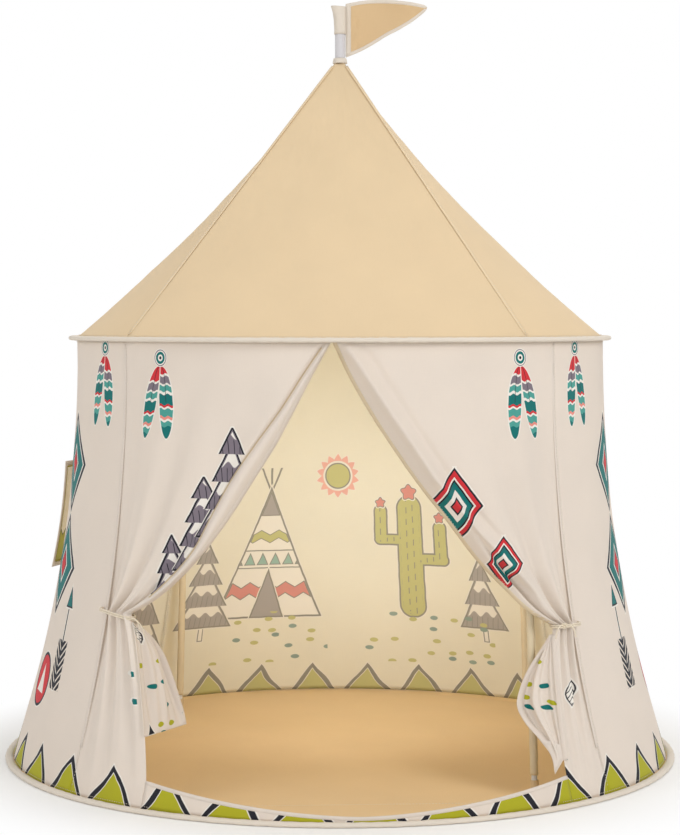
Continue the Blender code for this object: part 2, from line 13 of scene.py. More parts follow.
import bmesh
import bpy
from mathutils import Matrix, Vector, noise
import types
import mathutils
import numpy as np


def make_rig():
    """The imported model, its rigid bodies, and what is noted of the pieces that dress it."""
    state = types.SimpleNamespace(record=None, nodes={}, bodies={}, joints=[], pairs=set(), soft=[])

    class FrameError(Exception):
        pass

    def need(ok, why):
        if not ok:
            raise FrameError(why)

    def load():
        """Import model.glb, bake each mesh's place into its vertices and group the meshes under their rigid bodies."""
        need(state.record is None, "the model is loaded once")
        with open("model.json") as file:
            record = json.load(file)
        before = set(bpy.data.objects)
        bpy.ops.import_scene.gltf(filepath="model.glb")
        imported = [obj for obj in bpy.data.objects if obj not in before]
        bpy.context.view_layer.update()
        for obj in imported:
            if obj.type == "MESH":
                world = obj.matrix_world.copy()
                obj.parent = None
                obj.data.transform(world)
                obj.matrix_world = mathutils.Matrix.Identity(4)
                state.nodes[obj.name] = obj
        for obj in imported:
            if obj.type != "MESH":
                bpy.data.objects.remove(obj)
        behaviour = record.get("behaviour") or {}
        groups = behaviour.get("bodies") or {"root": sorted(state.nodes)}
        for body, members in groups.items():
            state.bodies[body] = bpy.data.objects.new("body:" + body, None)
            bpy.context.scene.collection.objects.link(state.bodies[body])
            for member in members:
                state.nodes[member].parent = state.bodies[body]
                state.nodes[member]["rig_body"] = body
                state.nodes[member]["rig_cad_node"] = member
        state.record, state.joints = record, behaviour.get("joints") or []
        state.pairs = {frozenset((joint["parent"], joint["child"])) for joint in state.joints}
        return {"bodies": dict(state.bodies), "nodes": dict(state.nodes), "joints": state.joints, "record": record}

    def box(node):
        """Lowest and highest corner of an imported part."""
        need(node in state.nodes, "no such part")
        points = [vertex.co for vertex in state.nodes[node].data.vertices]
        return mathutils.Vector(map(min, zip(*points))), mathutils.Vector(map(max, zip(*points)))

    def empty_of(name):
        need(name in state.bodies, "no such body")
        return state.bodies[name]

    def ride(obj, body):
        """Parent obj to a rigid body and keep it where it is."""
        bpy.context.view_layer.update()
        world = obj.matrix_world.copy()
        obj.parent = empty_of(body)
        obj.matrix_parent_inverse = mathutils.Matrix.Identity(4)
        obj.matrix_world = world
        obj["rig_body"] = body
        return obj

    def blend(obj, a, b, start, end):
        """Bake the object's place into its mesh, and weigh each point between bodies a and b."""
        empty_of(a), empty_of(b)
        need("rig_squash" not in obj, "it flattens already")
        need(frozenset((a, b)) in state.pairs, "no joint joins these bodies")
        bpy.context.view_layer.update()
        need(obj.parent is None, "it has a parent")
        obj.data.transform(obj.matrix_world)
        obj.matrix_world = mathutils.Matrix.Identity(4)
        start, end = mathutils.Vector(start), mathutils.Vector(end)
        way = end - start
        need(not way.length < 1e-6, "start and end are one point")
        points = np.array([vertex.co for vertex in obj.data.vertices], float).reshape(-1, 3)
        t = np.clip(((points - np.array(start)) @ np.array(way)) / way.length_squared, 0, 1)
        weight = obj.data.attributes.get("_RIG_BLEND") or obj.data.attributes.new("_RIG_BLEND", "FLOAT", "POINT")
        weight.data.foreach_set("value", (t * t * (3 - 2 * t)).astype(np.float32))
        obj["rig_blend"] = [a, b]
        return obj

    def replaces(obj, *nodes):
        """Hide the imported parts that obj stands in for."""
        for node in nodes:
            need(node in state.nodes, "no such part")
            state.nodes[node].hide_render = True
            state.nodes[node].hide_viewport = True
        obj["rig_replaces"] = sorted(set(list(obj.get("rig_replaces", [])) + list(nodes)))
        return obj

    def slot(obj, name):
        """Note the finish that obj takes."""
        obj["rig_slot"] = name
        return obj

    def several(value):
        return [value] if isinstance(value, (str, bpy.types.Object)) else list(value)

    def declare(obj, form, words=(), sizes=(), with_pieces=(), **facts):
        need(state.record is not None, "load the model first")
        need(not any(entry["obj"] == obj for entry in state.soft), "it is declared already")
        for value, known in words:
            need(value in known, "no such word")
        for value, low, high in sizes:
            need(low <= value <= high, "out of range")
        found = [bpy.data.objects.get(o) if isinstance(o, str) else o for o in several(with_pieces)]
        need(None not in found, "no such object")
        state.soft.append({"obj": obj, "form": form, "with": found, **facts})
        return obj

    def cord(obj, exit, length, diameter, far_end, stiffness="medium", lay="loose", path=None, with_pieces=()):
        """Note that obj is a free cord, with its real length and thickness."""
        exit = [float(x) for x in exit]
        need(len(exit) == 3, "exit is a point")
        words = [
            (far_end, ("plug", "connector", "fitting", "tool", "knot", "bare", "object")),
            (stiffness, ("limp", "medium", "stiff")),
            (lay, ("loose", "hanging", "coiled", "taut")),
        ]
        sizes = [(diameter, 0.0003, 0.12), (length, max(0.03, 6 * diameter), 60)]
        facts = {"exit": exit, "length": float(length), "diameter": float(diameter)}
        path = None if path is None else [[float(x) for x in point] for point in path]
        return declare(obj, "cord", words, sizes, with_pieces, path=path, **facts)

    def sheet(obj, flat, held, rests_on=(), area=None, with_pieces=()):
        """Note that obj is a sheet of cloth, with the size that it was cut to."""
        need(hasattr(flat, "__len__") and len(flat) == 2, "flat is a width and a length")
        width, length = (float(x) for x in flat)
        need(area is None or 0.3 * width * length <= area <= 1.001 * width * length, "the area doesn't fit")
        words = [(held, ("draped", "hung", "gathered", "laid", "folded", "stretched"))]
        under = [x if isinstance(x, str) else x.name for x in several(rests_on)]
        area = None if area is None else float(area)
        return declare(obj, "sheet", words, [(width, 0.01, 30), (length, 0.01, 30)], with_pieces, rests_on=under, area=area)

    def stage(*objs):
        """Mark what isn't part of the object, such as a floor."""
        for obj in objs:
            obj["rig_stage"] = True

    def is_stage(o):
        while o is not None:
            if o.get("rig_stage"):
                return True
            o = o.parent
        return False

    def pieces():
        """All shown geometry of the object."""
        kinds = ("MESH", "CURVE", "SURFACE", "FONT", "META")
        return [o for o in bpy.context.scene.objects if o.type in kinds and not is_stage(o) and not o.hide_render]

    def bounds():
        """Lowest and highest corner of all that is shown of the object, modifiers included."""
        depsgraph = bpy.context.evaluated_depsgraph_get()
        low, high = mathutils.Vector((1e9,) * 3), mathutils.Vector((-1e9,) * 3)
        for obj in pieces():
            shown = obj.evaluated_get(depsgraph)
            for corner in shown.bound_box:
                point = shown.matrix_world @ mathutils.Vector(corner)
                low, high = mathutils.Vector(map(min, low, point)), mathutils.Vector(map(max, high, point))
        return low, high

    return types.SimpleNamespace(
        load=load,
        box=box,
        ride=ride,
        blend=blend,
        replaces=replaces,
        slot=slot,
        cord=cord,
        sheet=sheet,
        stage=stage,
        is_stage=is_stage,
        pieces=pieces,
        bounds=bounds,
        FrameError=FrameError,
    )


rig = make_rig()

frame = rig.load()
cad_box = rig.bounds()
print("nodes:", len(frame["nodes"]), "bodies:", sorted(frame["bodies"]))

# %% [markdown]
# ## Camera
# A product photo of a tent is taken from a few metres away with a longer lens, so that its hoops look
# nearly flat. The two hoops are circles of known size, and their curves in the photograph fix the distance,
# the height and the tilt of the camera.

# %% The camera at the photograph's viewing angle
camera_distance = 3.75
camera_height = 0.777
camera_tilt = 2.68
camera_focal_length = 89.8
camera_sensor_height = 36.0


def add_camera():
    data = bpy.data.cameras.new("camera")
    data.sensor_fit = "VERTICAL"
    data.sensor_height = camera_sensor_height
    data.lens = camera_focal_length
    camera = bpy.data.objects.new("camera", data)
    camera.location = (0.0, -camera_distance, camera_height)
    camera.rotation_euler = (math.radians(90.0 - camera_tilt), 0.0, 0.0)
    bpy.context.scene.collection.objects.link(camera)
    bpy.context.scene.camera = camera
    print("camera", tuple(round(x, 3) for x in camera.location), "tilt", camera_tilt)


add_camera()

# %% [markdown]
# ## Small helpers
# Colours are written as a screen shows them, because they are easiest to compare with a photograph that way,
# and turned into the linear numbers that shaders use. `add_node` makes a node and fills its inputs in one
# line, and `Field` lets a pattern in a shader be written as a plain sum: each `+`, `-` or `*` adds one Math
# node to the tree that is being built.


# %% Colours
def shown(red, green, blue):
    """A colour as a screen shows it, in the linear numbers that a shader takes."""
    linear = [x / 12.92 if x <= 0.04045 else ((x + 0.055) / 1.055) ** 2.4 for x in (red, green, blue)]
    return (*linear, 1.0)


def tinted(colour, share):
    """The same colour darker or lighter, and nowhere above white."""
    return (*(min(1.0, x * share) for x in colour[:3]), 1.0)


print("colours ready")


# %% Nodes and materials
def give(tree, node, inputs):
    """Fills inputs, by name or number: plain values are set, and Fields, nodes and sockets are linked."""
    for place, value in inputs.items():
        if isinstance(value, bpy.types.Node):
            value = value.outputs[0]
        if isinstance(value, Field):
            value = value.socket
        if isinstance(value, bpy.types.NodeSocket):
            tree.links.new(value, node.inputs[place])
        else:
            node.inputs[place].default_value = value


def add_node(tree, kind, inputs=None, **settings):
    node = tree.nodes.new(kind)
    for title, value in settings.items():
        setattr(node, title, value)
    give(tree, node, inputs or {})
    return node


def mix_colour(tree, amount, below, above):
    return add_node(tree, "ShaderNodeMix", {0: amount, 6: below, 7: above}, data_type="RGBA").outputs[2]


def mix_shader(tree, amount, below, above):
    return add_node(tree, "ShaderNodeMixShader", {0: amount, 1: below, 2: above})


def steps_of_colour(tree, field, marks):
    """A colour that jumps at each mark, as (place from 0 to 1, colour)."""
    node = add_node(tree, "ShaderNodeValToRGB", {0: field})
    ramp = node.color_ramp
    ramp.interpolation = "CONSTANT"
    ramp.elements[0].position = marks[0][0]
    ramp.elements[0].color = marks[0][1]
    ramp.elements.remove(ramp.elements[1])
    for place, colour in marks[1:]:
        ramp.elements.new(place).color = colour
    return node.outputs[0]


def new_material(name):
    """A material, its node tree and its Principled shader."""
    material = bpy.data.materials.new(name)
    material.use_nodes = True
    return material, material.node_tree, material.node_tree.nodes["Principled BSDF"]


def show(tree, surface):
    give(tree, tree.nodes["Material Output"], {"Surface": surface})


print("nodes ready")


# %% Sums in a shader
class Field:
    """One number in a shader's node tree."""

    def __init__(self, tree, socket):
        self.tree = tree
        self.socket = socket

    def math(self, operation, *others, clamp=False):
        inputs = dict(enumerate((self, *others)))
        node = add_node(self.tree, "ShaderNodeMath", inputs, operation=operation, use_clamp=clamp)
        return Field(self.tree, node.outputs[0])

    def __add__(self, other):
        return self.math("ADD", other)

    def __sub__(self, other):
        return self.math("SUBTRACT", other)

    def __mul__(self, other):
        return self.math("MULTIPLY", other)

    def __abs__(self):
        return self.math("ABSOLUTE")

    def least(self, other):
        return self.math("MINIMUM", other)

    def most(self, other):
        return self.math("MAXIMUM", other)

    def wave(self):
        return self.math("SINE")

    def below(self, other):
        """other less this field, which a plain number can't be asked for."""
        return self.math("MULTIPLY_ADD", -1.0, other)

    def cover(self, soft=0.0007):
        """0 where the field is negative, 1 where it is positive, with a short soft edge between."""
        return self.math("MULTIPLY_ADD", 1.0 / soft, 0.5, clamp=True)


def length_of(x, y):
    return (x * x + y * y).math("SQRT")


def parts_of(tree, socket, kind="XYZ"):
    """The separate numbers of a vector, or of a colour."""
    return [Field(tree, part) for part in add_node(tree, "ShaderNodeSeparate" + kind, {0: socket}).outputs]


def join_parts(tree, *parts):
    return add_node(tree, "ShaderNodeCombineXYZ", dict(enumerate(parts)))


print("shader helpers ready")

# %% [markdown]
# ## Studio
# The photograph shows the tent on pure white. Here the floor is a pale sheet that keeps the tent's shadow
# close to it, and fades further out to a plain white that only the camera and reflections see. The world is
# a soft even light, and three big soft lamps add a little direction. Two small lamps inside the tent stand
# for the daylight that comes through the thin roof and in at the door.

# %% The studio floor
floor_size = 40.0
floor_fade_start = 0.56
floor_fade_end = 0.82
world_light = 0.56
pale_grey = shown(0.965, 0.962, 0.955)
plain_white = (1.0, 1.0, 1.0, 1.0)


def seen_directly(tree):
    """1 for rays from the camera, and for those that a shiny or clear surface sends on."""
    path = add_node(tree, "ShaderNodeLightPath")
    rays = ("Is Camera Ray", "Is Glossy Ray", "Is Transmission Ray")
    camera_ray, glossy_ray, clear_ray = (Field(tree, path.outputs[ray]) for ray in rays)
    return camera_ray.most(glossy_ray).most(clear_ray)


def build_studio_floor():
    mesh = bpy.data.meshes.new("studio_floor")
    reach = floor_size / 2
    corners = [(-reach, -reach, 0.0), (reach, -reach, 0.0), (reach, reach, 0.0), (-reach, reach, 0.0)]
    mesh.from_pydata(corners, [], [(0, 1, 2, 3)])
    studio_floor = bpy.data.objects.new("studio_floor", mesh)
    bpy.context.scene.collection.objects.link(studio_floor)
    material, tree, shader = new_material("studio_floor")
    give(tree, shader, {"Base Color": pale_grey, "Roughness": 0.8})
    x, y, _ = parts_of(tree, add_node(tree, "ShaderNodeTexCoord").outputs["Object"])
    faded = (length_of(x, y) - floor_fade_start).math("DIVIDE", floor_fade_end - floor_fade_start, clamp=True)
    eased = faded * faded * (faded * 2.0).below(3.0)
    white = add_node(tree, "ShaderNodeEmission")
    show(tree, mix_shader(tree, eased * seen_directly(tree), shader, white))
    mesh.materials.append(material)
    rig.stage(studio_floor)


build_studio_floor()
print("floor ready")


# %% World and lamps
def build_world():
    world = bpy.data.worlds.new("studio_world")
    bpy.context.scene.world = world
    world.use_nodes = True
    tree = world.node_tree
    tree.nodes.clear()
    soft, white = (
        add_node(tree, "ShaderNodeBackground", {"Color": plain_white, "Strength": strength})
        for strength in (world_light, 1.0)
    )
    add_node(tree, "ShaderNodeOutputWorld", {"Surface": mix_shader(tree, seen_directly(tree), soft, white)})


def add_lamp(name, place, target, size, power, colour=(1.0, 1.0, 1.0), spread=180.0):
    """A round soft lamp that shines from place towards target."""
    data = bpy.data.lights.new(name, "AREA")
    data.shape = "DISK"
    data.size = size
    data.energy = power
    data.color = colour
    data.spread = math.radians(spread)
    lamp = bpy.data.objects.new(name, data)
    lamp.location = place
    lamp.rotation_euler = (Vector(target) - Vector(place)).to_track_quat("-Z", "Y").to_euler()
    lamp.visible_camera = False
    bpy.context.scene.collection.objects.link(lamp)


build_world()
add_lamp("key_lamp", (2.7, -3.3, 2.9), (0.0, 0.0, 0.6), 1.8, 78.0)
add_lamp("fill_lamp", (-3.1, -2.8, 2.1), (0.0, 0.0, 0.6), 2.6, 41.0)
add_lamp("top_lamp", (0.3, 1.2, 3.6), (0.0, 0.0, 0.7), 2.4, 34.0)
add_lamp("inside_lamp", (0.0, 0.0, 0.93), (0.0, 0.0, 0.0), 0.5, 1.1, (1.0, 0.82, 0.60))
add_lamp("door_lamp", (0.0, -0.30, 0.50), (0.05, 0.58, 0.17), 0.32, 1.3, (0.97, 0.99, 1.0), 100.0)
bpy.context.scene.view_settings.view_transform = "Standard"
print("world and lamps ready")

# %% [markdown]
# ## Cloth as a material
# The tent is sewn from thin peach-skin polyester: matt, a little translucent, with a very fine plain weave.
# Every cloth piece carries a UV map named `cloth`, whose numbers are metres along the cloth, so that the
# weave and the print follow the folds. The weave is two crossed sine waves in the bump, with thicker threads
# from a stretched noise, and a Translucent shader lets some light through. A photographed weave could do the
# same, but only at one size, while waves stay sharp however close the camera comes.

# %% Places and noises on the cloth
cloth_map = "cloth"
map_radius = 0.5
hand_shake_scale = 42.0


def map_across(azimuth):
    """The cloth map runs round the tent at one radius, so that a pattern keeps its count of repeats."""
    return math.radians(azimuth) * map_radius


def cloth_place(tree, wobble=0.0):
    """Where on the cloth a point lies, in metres, with a wobble for a line that is drawn by hand."""
    place = add_node(tree, "ShaderNodeUVMap", uv_map=cloth_map)
    across, up, _ = parts_of(tree, place)
    if wobble:
        shake = {"Scale": hand_shake_scale, "Detail": 2.0, "Vector": place}
        shaken = add_node(tree, "ShaderNodeTexNoise", shake).outputs["Color"]
        sideways, upward, _ = parts_of(tree, shaken, "Color")
        across = across + (sideways - 0.5) * wobble
        up = up + (upward - 0.5) * wobble
    return across, up


def cloth_noise(tree, across_scale, up_scale, detail=2.0):
    """A noise that may be stretched along the warp or the weft."""
    across, up = cloth_place(tree)
    place = join_parts(tree, across * across_scale, up * up_scale)
    grain = add_node(tree, "ShaderNodeTexNoise", {"Scale": 1.0, "Detail": detail, "Vector": place})
    return Field(tree, grain.outputs[0])


def bump(tree, height, distance, strength, below=None):
    """A normal for a surface with this height, over another normal where there is one."""
    node = add_node(tree, "ShaderNodeBump", {"Height": height, "Distance": distance, "Strength": strength})
    if below:
        give(tree, node, {"Normal": below})
    return node


print("places on the cloth ready")

# %% Woven cloth
weave_pitch = 0.0009
weave_depth = 0.00012
crease_depth = 0.0011
patch_scale = 7.0
thread_scale, slub_scale = 900.0, 45.0
cloth_finish = {
    "Roughness": 0.88,
    "Specular IOR Level": 0.25,
    "Sheen Weight": 0.12,
    "Sheen Roughness": 0.5,
}


def cloth_material(name, colour, printed=None, print_share=1.0, through_share=0.2, crease=1.0):
    """Woven cloth. printed paints the pattern, and print_share is how strongly it shows on this side."""
    material, tree, shader = new_material(name)
    patches = cloth_noise(tree, patch_scale, patch_scale)
    weft_slubs = cloth_noise(tree, thread_scale, slub_scale, 1.0)
    warp_slubs = cloth_noise(tree, slub_scale, thread_scale, 1.0)
    slubs = weft_slubs * 0.5 + warp_slubs * 0.5
    shade = (patches * 0.6 + slubs * 0.4 - 0.5) * 1.5 + 0.5
    shade = shade.math("MAXIMUM", 0.0, clamp=True)
    woven = mix_colour(tree, shade, tinted(colour, 0.93), tinted(colour, 1.03))
    if printed:
        pattern = Print(tree, woven)
        printed(pattern)
        woven = mix_colour(tree, print_share, woven, pattern.colour)
    across, up = cloth_place(tree)
    turn = 2 * math.pi / weave_pitch
    threads = (across * turn).wave() * (up * turn).wave() * 0.5 + slubs
    creases = bump(tree, cloth_noise(tree, 16.0, 11.0, 3.0), crease_depth * crease, 0.5)
    normal = bump(tree, threads, weave_depth, 0.4, creases)
    give(tree, shader, {"Base Color": woven, "Normal": normal, **cloth_finish})
    through = add_node(tree, "ShaderNodeBsdfTranslucent", {"Color": woven, "Normal": normal})
    show(tree, mix_shader(tree, through_share, shader, through))
    return material


print("a thread of the weave every", weave_pitch, "m")

# %% [markdown]
# ## The print
# The walls are screen printed in a few flat inks with a drawn, slightly shaky outline. Each motif is a
# distance: how far a point lies inside the shape, in metres. Painting where that number is positive gives a
# crisp shape at any zoom, and painting it again a few millimetres further in leaves an outline. The hem has
# a row of triangles, pendants with two banded feathers hang under the eaves, and a few plain pictures of a
# tipi, cacti and pines fill the walls.

# %% Inks and how they are laid on
print_wobble = 0.0024
outline_width = 0.0034
margin_width = 0.0022
print_white = shown(0.97, 0.95, 0.92)
charcoal = shown(0.16, 0.16, 0.19)
teal = shown(0.08, 0.47, 0.46)
pale_teal = shown(0.33, 0.66, 0.62)
coral = shown(0.86, 0.22, 0.25)
pink = shown(0.95, 0.60, 0.55)
olive = shown(0.73, 0.72, 0.17)
mauve = shown(0.53, 0.49, 0.53)


class Print:
    """The pattern so far: a colour socket, and the place on the cloth that the motifs are drawn on."""

    def __init__(self, tree, below):
        self.tree = tree
        self.colour = below
        self.across, self.up = cloth_place(tree, print_wobble)

    def paint(self, colour, cover):
        self.colour = mix_colour(self.tree, cover, self.colour, colour)

    def stamp(self, inside, fill, line=outline_width, margin=margin_width):
        """A filled shape with a charcoal outline and a thin unprinted margin round it."""
        if margin:
            self.paint(print_white, (inside + margin).cover())
        if line:
            self.paint(charcoal, inside.cover())
        self.paint(fill, (inside - line).cover())

    def spot(self, azimuth, height, width_share=1.0):
        """Coordinates in metres from a spot on the cloth."""
        return (self.across - map_across(azimuth)) * width_share, self.up - height


print("inks ready")


# %% Shapes to fill
def in_box(x, y, half_width, half_height):
    return abs(x).below(half_width).least(abs(y).below(half_height))


def in_disc(x, y, radius):
    return length_of(x, y).below(radius)


def under_slopes(x, y, half_base, height):
    """Below the two sloping sides of a triangle on y = 0 with its point up."""
    steep = math.hypot(1 / half_base, 1 / height)
    return (abs(x) * (1 / half_base) + y * (1 / height)).below(1.0) * (1 / steep)


def in_triangle(x, y, half_base, height):
    return under_slopes(x, y, half_base, height).least(y)


def in_bar(x, y, half_length, radius):
    """An upright bar with round ends."""
    return length_of(x, (abs(y) - half_length).most(0.0)).below(radius)


def repeat(field, pitch):
    """The distance from the middle of the nearest repeat."""
    return ((field * (1 / pitch)).math("FRACT") - 0.5) * pitch


print("shapes ready")

# %% Hem triangles and dots
triangle_count = 32
triangle_half_base = 0.0475
triangle_height = 0.058
triangle_line = 0.0082
dot_radius_share = 0.20
dot_pick_share = 0.62
hem_height = 0.006
hem_stretch_share = 0.587 / map_radius


def print_hem_triangles(pattern):
    pitch = 2 * math.pi * map_radius / triangle_count
    x = repeat(pattern.across, pitch) * hem_stretch_share
    y = pattern.up - hem_height
    crooked = (y * 95.0 + pattern.across * 31.0).wave() * 0.0022
    outer = under_slopes(x + crooked, y, triangle_half_base, triangle_height)
    inner = outer - triangle_line + (pattern.across * 57.0 + y * 60.0).wave() * 0.0014
    pattern.paint(print_white, (outer + margin_width).cover())
    pattern.paint(charcoal, outer.cover())
    pattern.paint(print_white, inner.cover())
    pattern.paint(olive, (inner - 0.0014).cover())


def print_dots(pattern, low, high, patches):
    """Loose dots in two inks, between two heights and near each (azimuth, half width) of patches."""
    tree = pattern.tree
    place = join_parts(tree, pattern.across * 26.0, pattern.up * 45.0)
    scatter = {"Scale": 1.0, "Randomness": 0.75, "Vector": place}
    cells = add_node(tree, "ShaderNodeTexVoronoi", scatter, voronoi_dimensions="2D")
    pick, ink, _ = parts_of(tree, cells.outputs["Color"], "Color")
    dot = Field(tree, cells.outputs["Distance"]).below(dot_radius_share) * 0.03
    near = None
    for azimuth, half_width in patches:
        patch = in_box(*pattern.spot(azimuth, (low + high) / 2), half_width, (high - low) / 2)
        near = near.most(patch) if near else patch
    dot = dot.least(near).least(pick.below(dot_pick_share))
    pattern.paint(teal, dot.least(ink - 0.45).cover())
    pattern.paint(olive, dot.least(ink.below(0.45)).cover())


print(triangle_count, "triangles round the hem")

# %% Pendants with two banded feathers
pendant_height = 0.7235
pendant_height_step = 0.0075
pendant_middle = 42.25
pendant_spread = 9.25
pendant_radius = 0.0148
feather_length = 0.118
feather_half_width = 0.0138
feather_splay = 0.0238
pendant_lean = 0.07
feather_bands = [
    (0.00, coral), (0.16, print_white), (0.19, mauve), (0.29, print_white), (0.32, pale_teal),
    (0.40, print_white), (0.44, teal), (0.58, coral), (0.61, print_white), (0.64, pale_teal),
    (0.74, pink), (0.78, print_white), (0.81, pale_teal), (0.88, teal),
]
roundel_rings = [
    (0.00, charcoal), (0.17, print_white), (0.36, teal), (0.66, print_white), (0.80, mauve),
    (0.90, print_white),
]


def print_pendants(pattern):
    """Eight pendants round the tent, in pairs: folding the azimuth three times lays them on one another."""
    full = 2 * math.pi * map_radius
    folded = abs(repeat(pattern.across + full / 2, full))
    folded = abs(folded - full / 4) - map_across(pendant_middle)
    from_middle = (abs(folded) - map_across(pendant_spread)) * 0.94
    y = pattern.up - pendant_height + folded.math("SIGN") * pendant_height_step
    fall = y.below(-0.9 * pendant_radius)
    along = fall * (1 / feather_length)
    x = from_middle + folded.math("SIGN") * fall * pendant_lean
    beside = abs(x) - along.math("MAXIMUM", 0.0).math("POWER", 0.45) * feather_splay
    swell = (along.math("MULTIPLY", 1.0, clamp=True) * math.pi).wave().math("POWER", 0.5) * feather_half_width
    feather = (swell - abs(beside)).least(fall).least((fall - feather_length) * -1.0)
    ripple = (beside * 420.0).wave() * 0.012 + x.math("SIGN") * 0.05
    bands = steps_of_colour(pattern.tree, along + ripple, feather_bands)
    pattern.stamp(feather, bands, line=0.0)
    quill = abs(beside).below(0.0005).least(along.below(0.5)).least(feather)
    pattern.paint(charcoal, quill.cover())
    away = length_of(from_middle, y)
    rings = steps_of_colour(pattern.tree, away * (1 / pendant_radius), roundel_rings)
    pattern.stamp(away.below(pendant_radius), rings, line=0.0, margin=0.0)


print("pendants", feather_length, "m long")

# %% Tipi, sun and cactus
cactus_flowers = [(0.0, 0.262, 0.0155), (-0.064, 0.211, 0.0105), (0.060, 0.240, 0.010)]
sun_ray_count = 14


def print_tipi(pattern, azimuth, height):
    """Three poles, a body with banded patterns, and a dark cap and door."""
    x, y = pattern.spot(azimuth, height)
    for lean in (-0.42, 0.0, 0.42):
        pole = abs(x - (y - 0.262) * lean).below(0.0021)
        pattern.paint(charcoal, pole.least(y - 0.25).least(y.below(0.312)).cover())
    body = in_triangle(x, y, 0.108, 0.275)
    pattern.stamp(body, print_white, line=0.0036)
    inner = body - 0.0036
    zigzag = abs(repeat(x, 0.036)) * 1.1
    low_band = in_box(x, y - 0.052 - zigzag * 0.6, 0.2, 0.013).least(inner)
    pattern.stamp(low_band, coral, line=0.0022, margin=0.0)
    teeth = in_triangle(repeat(x, 0.026), y - 0.112, 0.012, 0.026).least(inner)
    pattern.stamp(teeth, pale_teal, line=0.0018, margin=0.0)
    rule = abs(abs(y - 0.124) - 0.018).below(0.0011).least(inner)
    pattern.paint(charcoal, rule.cover())
    high_band = in_box(x, y - 0.176 + zigzag * 0.5, 0.2, 0.009).least(inner)
    pattern.stamp(high_band, olive, line=0.0018, margin=0.0)
    cap = (y - 0.214).least(inner)
    pattern.stamp(cap, mauve, line=0.002, margin=0.0)
    door = in_triangle(x, y, 0.034, 0.105)
    pattern.stamp(door, mauve, line=0.003, margin=0.002)


def print_sun(pattern, azimuth, height):
    """A disc with rays round it."""
    x, y = pattern.spot(azimuth, height)
    away = length_of(x, y)
    angle = y.math("ARCTAN2", x) * (sun_ray_count / (2 * math.pi))
    ray = abs(angle.math("FRACT") - 0.5).below(0.5)
    rays = (ray * 0.022 + 0.034 - away).least(away - 0.031)
    pattern.stamp(rays, pink, line=0.0)
    pattern.stamp(away.below(0.027), olive, line=0.0028)


def print_cactus(pattern, azimuth, height, size_share=1.0):
    """A trunk and two bent arms, each with a flower on top."""
    x, y = pattern.spot(azimuth, height, 1 / size_share)
    y = y * (1 / size_share)
    trunk = in_bar(x, y - 0.128, 0.102, 0.027)
    left_arm = in_bar(x + 0.064, y - 0.160, 0.030, 0.0155)
    left_bend = in_bar(y - 0.124, x + 0.034, 0.034, 0.0135)
    right_arm = in_bar(x - 0.060, y - 0.196, 0.026, 0.0145)
    right_bend = in_bar(y - 0.164, x - 0.032, 0.030, 0.0125)
    body = trunk.most(left_arm.most(left_bend)).most(right_arm.most(right_bend)).least(y)
    pattern.stamp(body * size_share, olive)
    dash = abs(repeat(x, 0.0135)).below(0.0009).least(abs(repeat(y + x * 0.4, 0.024)).below(0.0062))
    pattern.paint(charcoal, dash.least(body - 0.0075).cover())
    for flower_x, flower_y, radius in cactus_flowers:
        petals = (y - flower_y).math("ARCTAN2", x - flower_x) * 5.0
        flower = length_of(x - flower_x, y - flower_y).below(radius) + petals.wave() * radius * 0.16
        pattern.stamp(flower * size_share, coral, line=0.0022)


print("tipi, sun and cactus ready")


# %% Pine and diamonds
def print_pine(pattern, azimuth, height, tall, tiers=4):
    """A trunk and pointed tiers, each with snow on its upper part."""
    x, y = pattern.spot(azimuth, height)
    trunk = in_box(x, y + 0.012, 0.0055, 0.016)
    pattern.stamp(trunk, print_white, line=0.002)
    share = y * (1 / tall)
    tier = (share * tiers).math("FRACT")
    half = share.below(1.0) * (tall * 0.27) + tier.below(1.0) * (tall * 0.075)
    body = ((half - abs(x)) * 0.85).least(y).least(y.below(tall) - 0.003)
    pattern.stamp(body, mauve, line=0.003)
    snow = tier - 0.62 + (x * 240.0).wave() * 0.10
    pattern.paint(print_white, (snow * 0.02).least(body - 0.0046).cover())
    stroke = abs(repeat(x + tier * 0.006, 0.011)).below(0.0007).least(tier.below(0.5) * 0.01)
    pattern.paint(charcoal, stroke.least(body - 0.003).cover())


diamond_rings = [
    (0.00, coral), (0.17, charcoal), (0.24, print_white), (0.42, teal), (0.62, charcoal),
    (0.69, print_white), (0.76, coral), (0.92, charcoal),
]
side_rings = [
    (0.00, coral), (0.24, charcoal), (0.31, print_white), (0.39, teal), (0.80, print_white),
    (0.86, charcoal),
]


def print_diamonds(pattern, azimuth, height, count, half_width, half_height, ring_stops):
    """A column of nested diamonds that stands on height."""
    x, y = pattern.spot(azimuth, height)
    inner_y = repeat(y, 2 * half_height)
    share = abs(x) * (1 / half_width) + abs(inner_y) * (1 / half_height)
    rings = steps_of_colour(pattern.tree, share, ring_stops)
    body = (share.below(1.0) * half_width * 0.75).least(y).least(y.below(2 * half_height * count))
    pattern.stamp(body, rings, line=0.0)


print("pine and diamonds ready")


# %% Arrow, token and leaf
def print_arrow(pattern, azimuth, height, tall):
    """An upright shaft with a triangular head and a barbed vane at its foot."""
    x, y = pattern.spot(azimuth, height)
    pattern.stamp(in_box(x, y - tall / 2, 0.0024, tall / 2), charcoal, line=0.0)
    pattern.stamp(in_triangle(x, y - tall, 0.017, 0.036), teal, line=0.0026)
    vane = in_box(x, y - tall * 0.30, 0.022, tall * 0.30)
    barbs = ((y - abs(x) * 0.9) * (1 / 0.0135)).math("FRACT")
    pattern.stamp(vane.least(barbs.below(0.68) * 0.008), charcoal, line=0.0, margin=0.0)


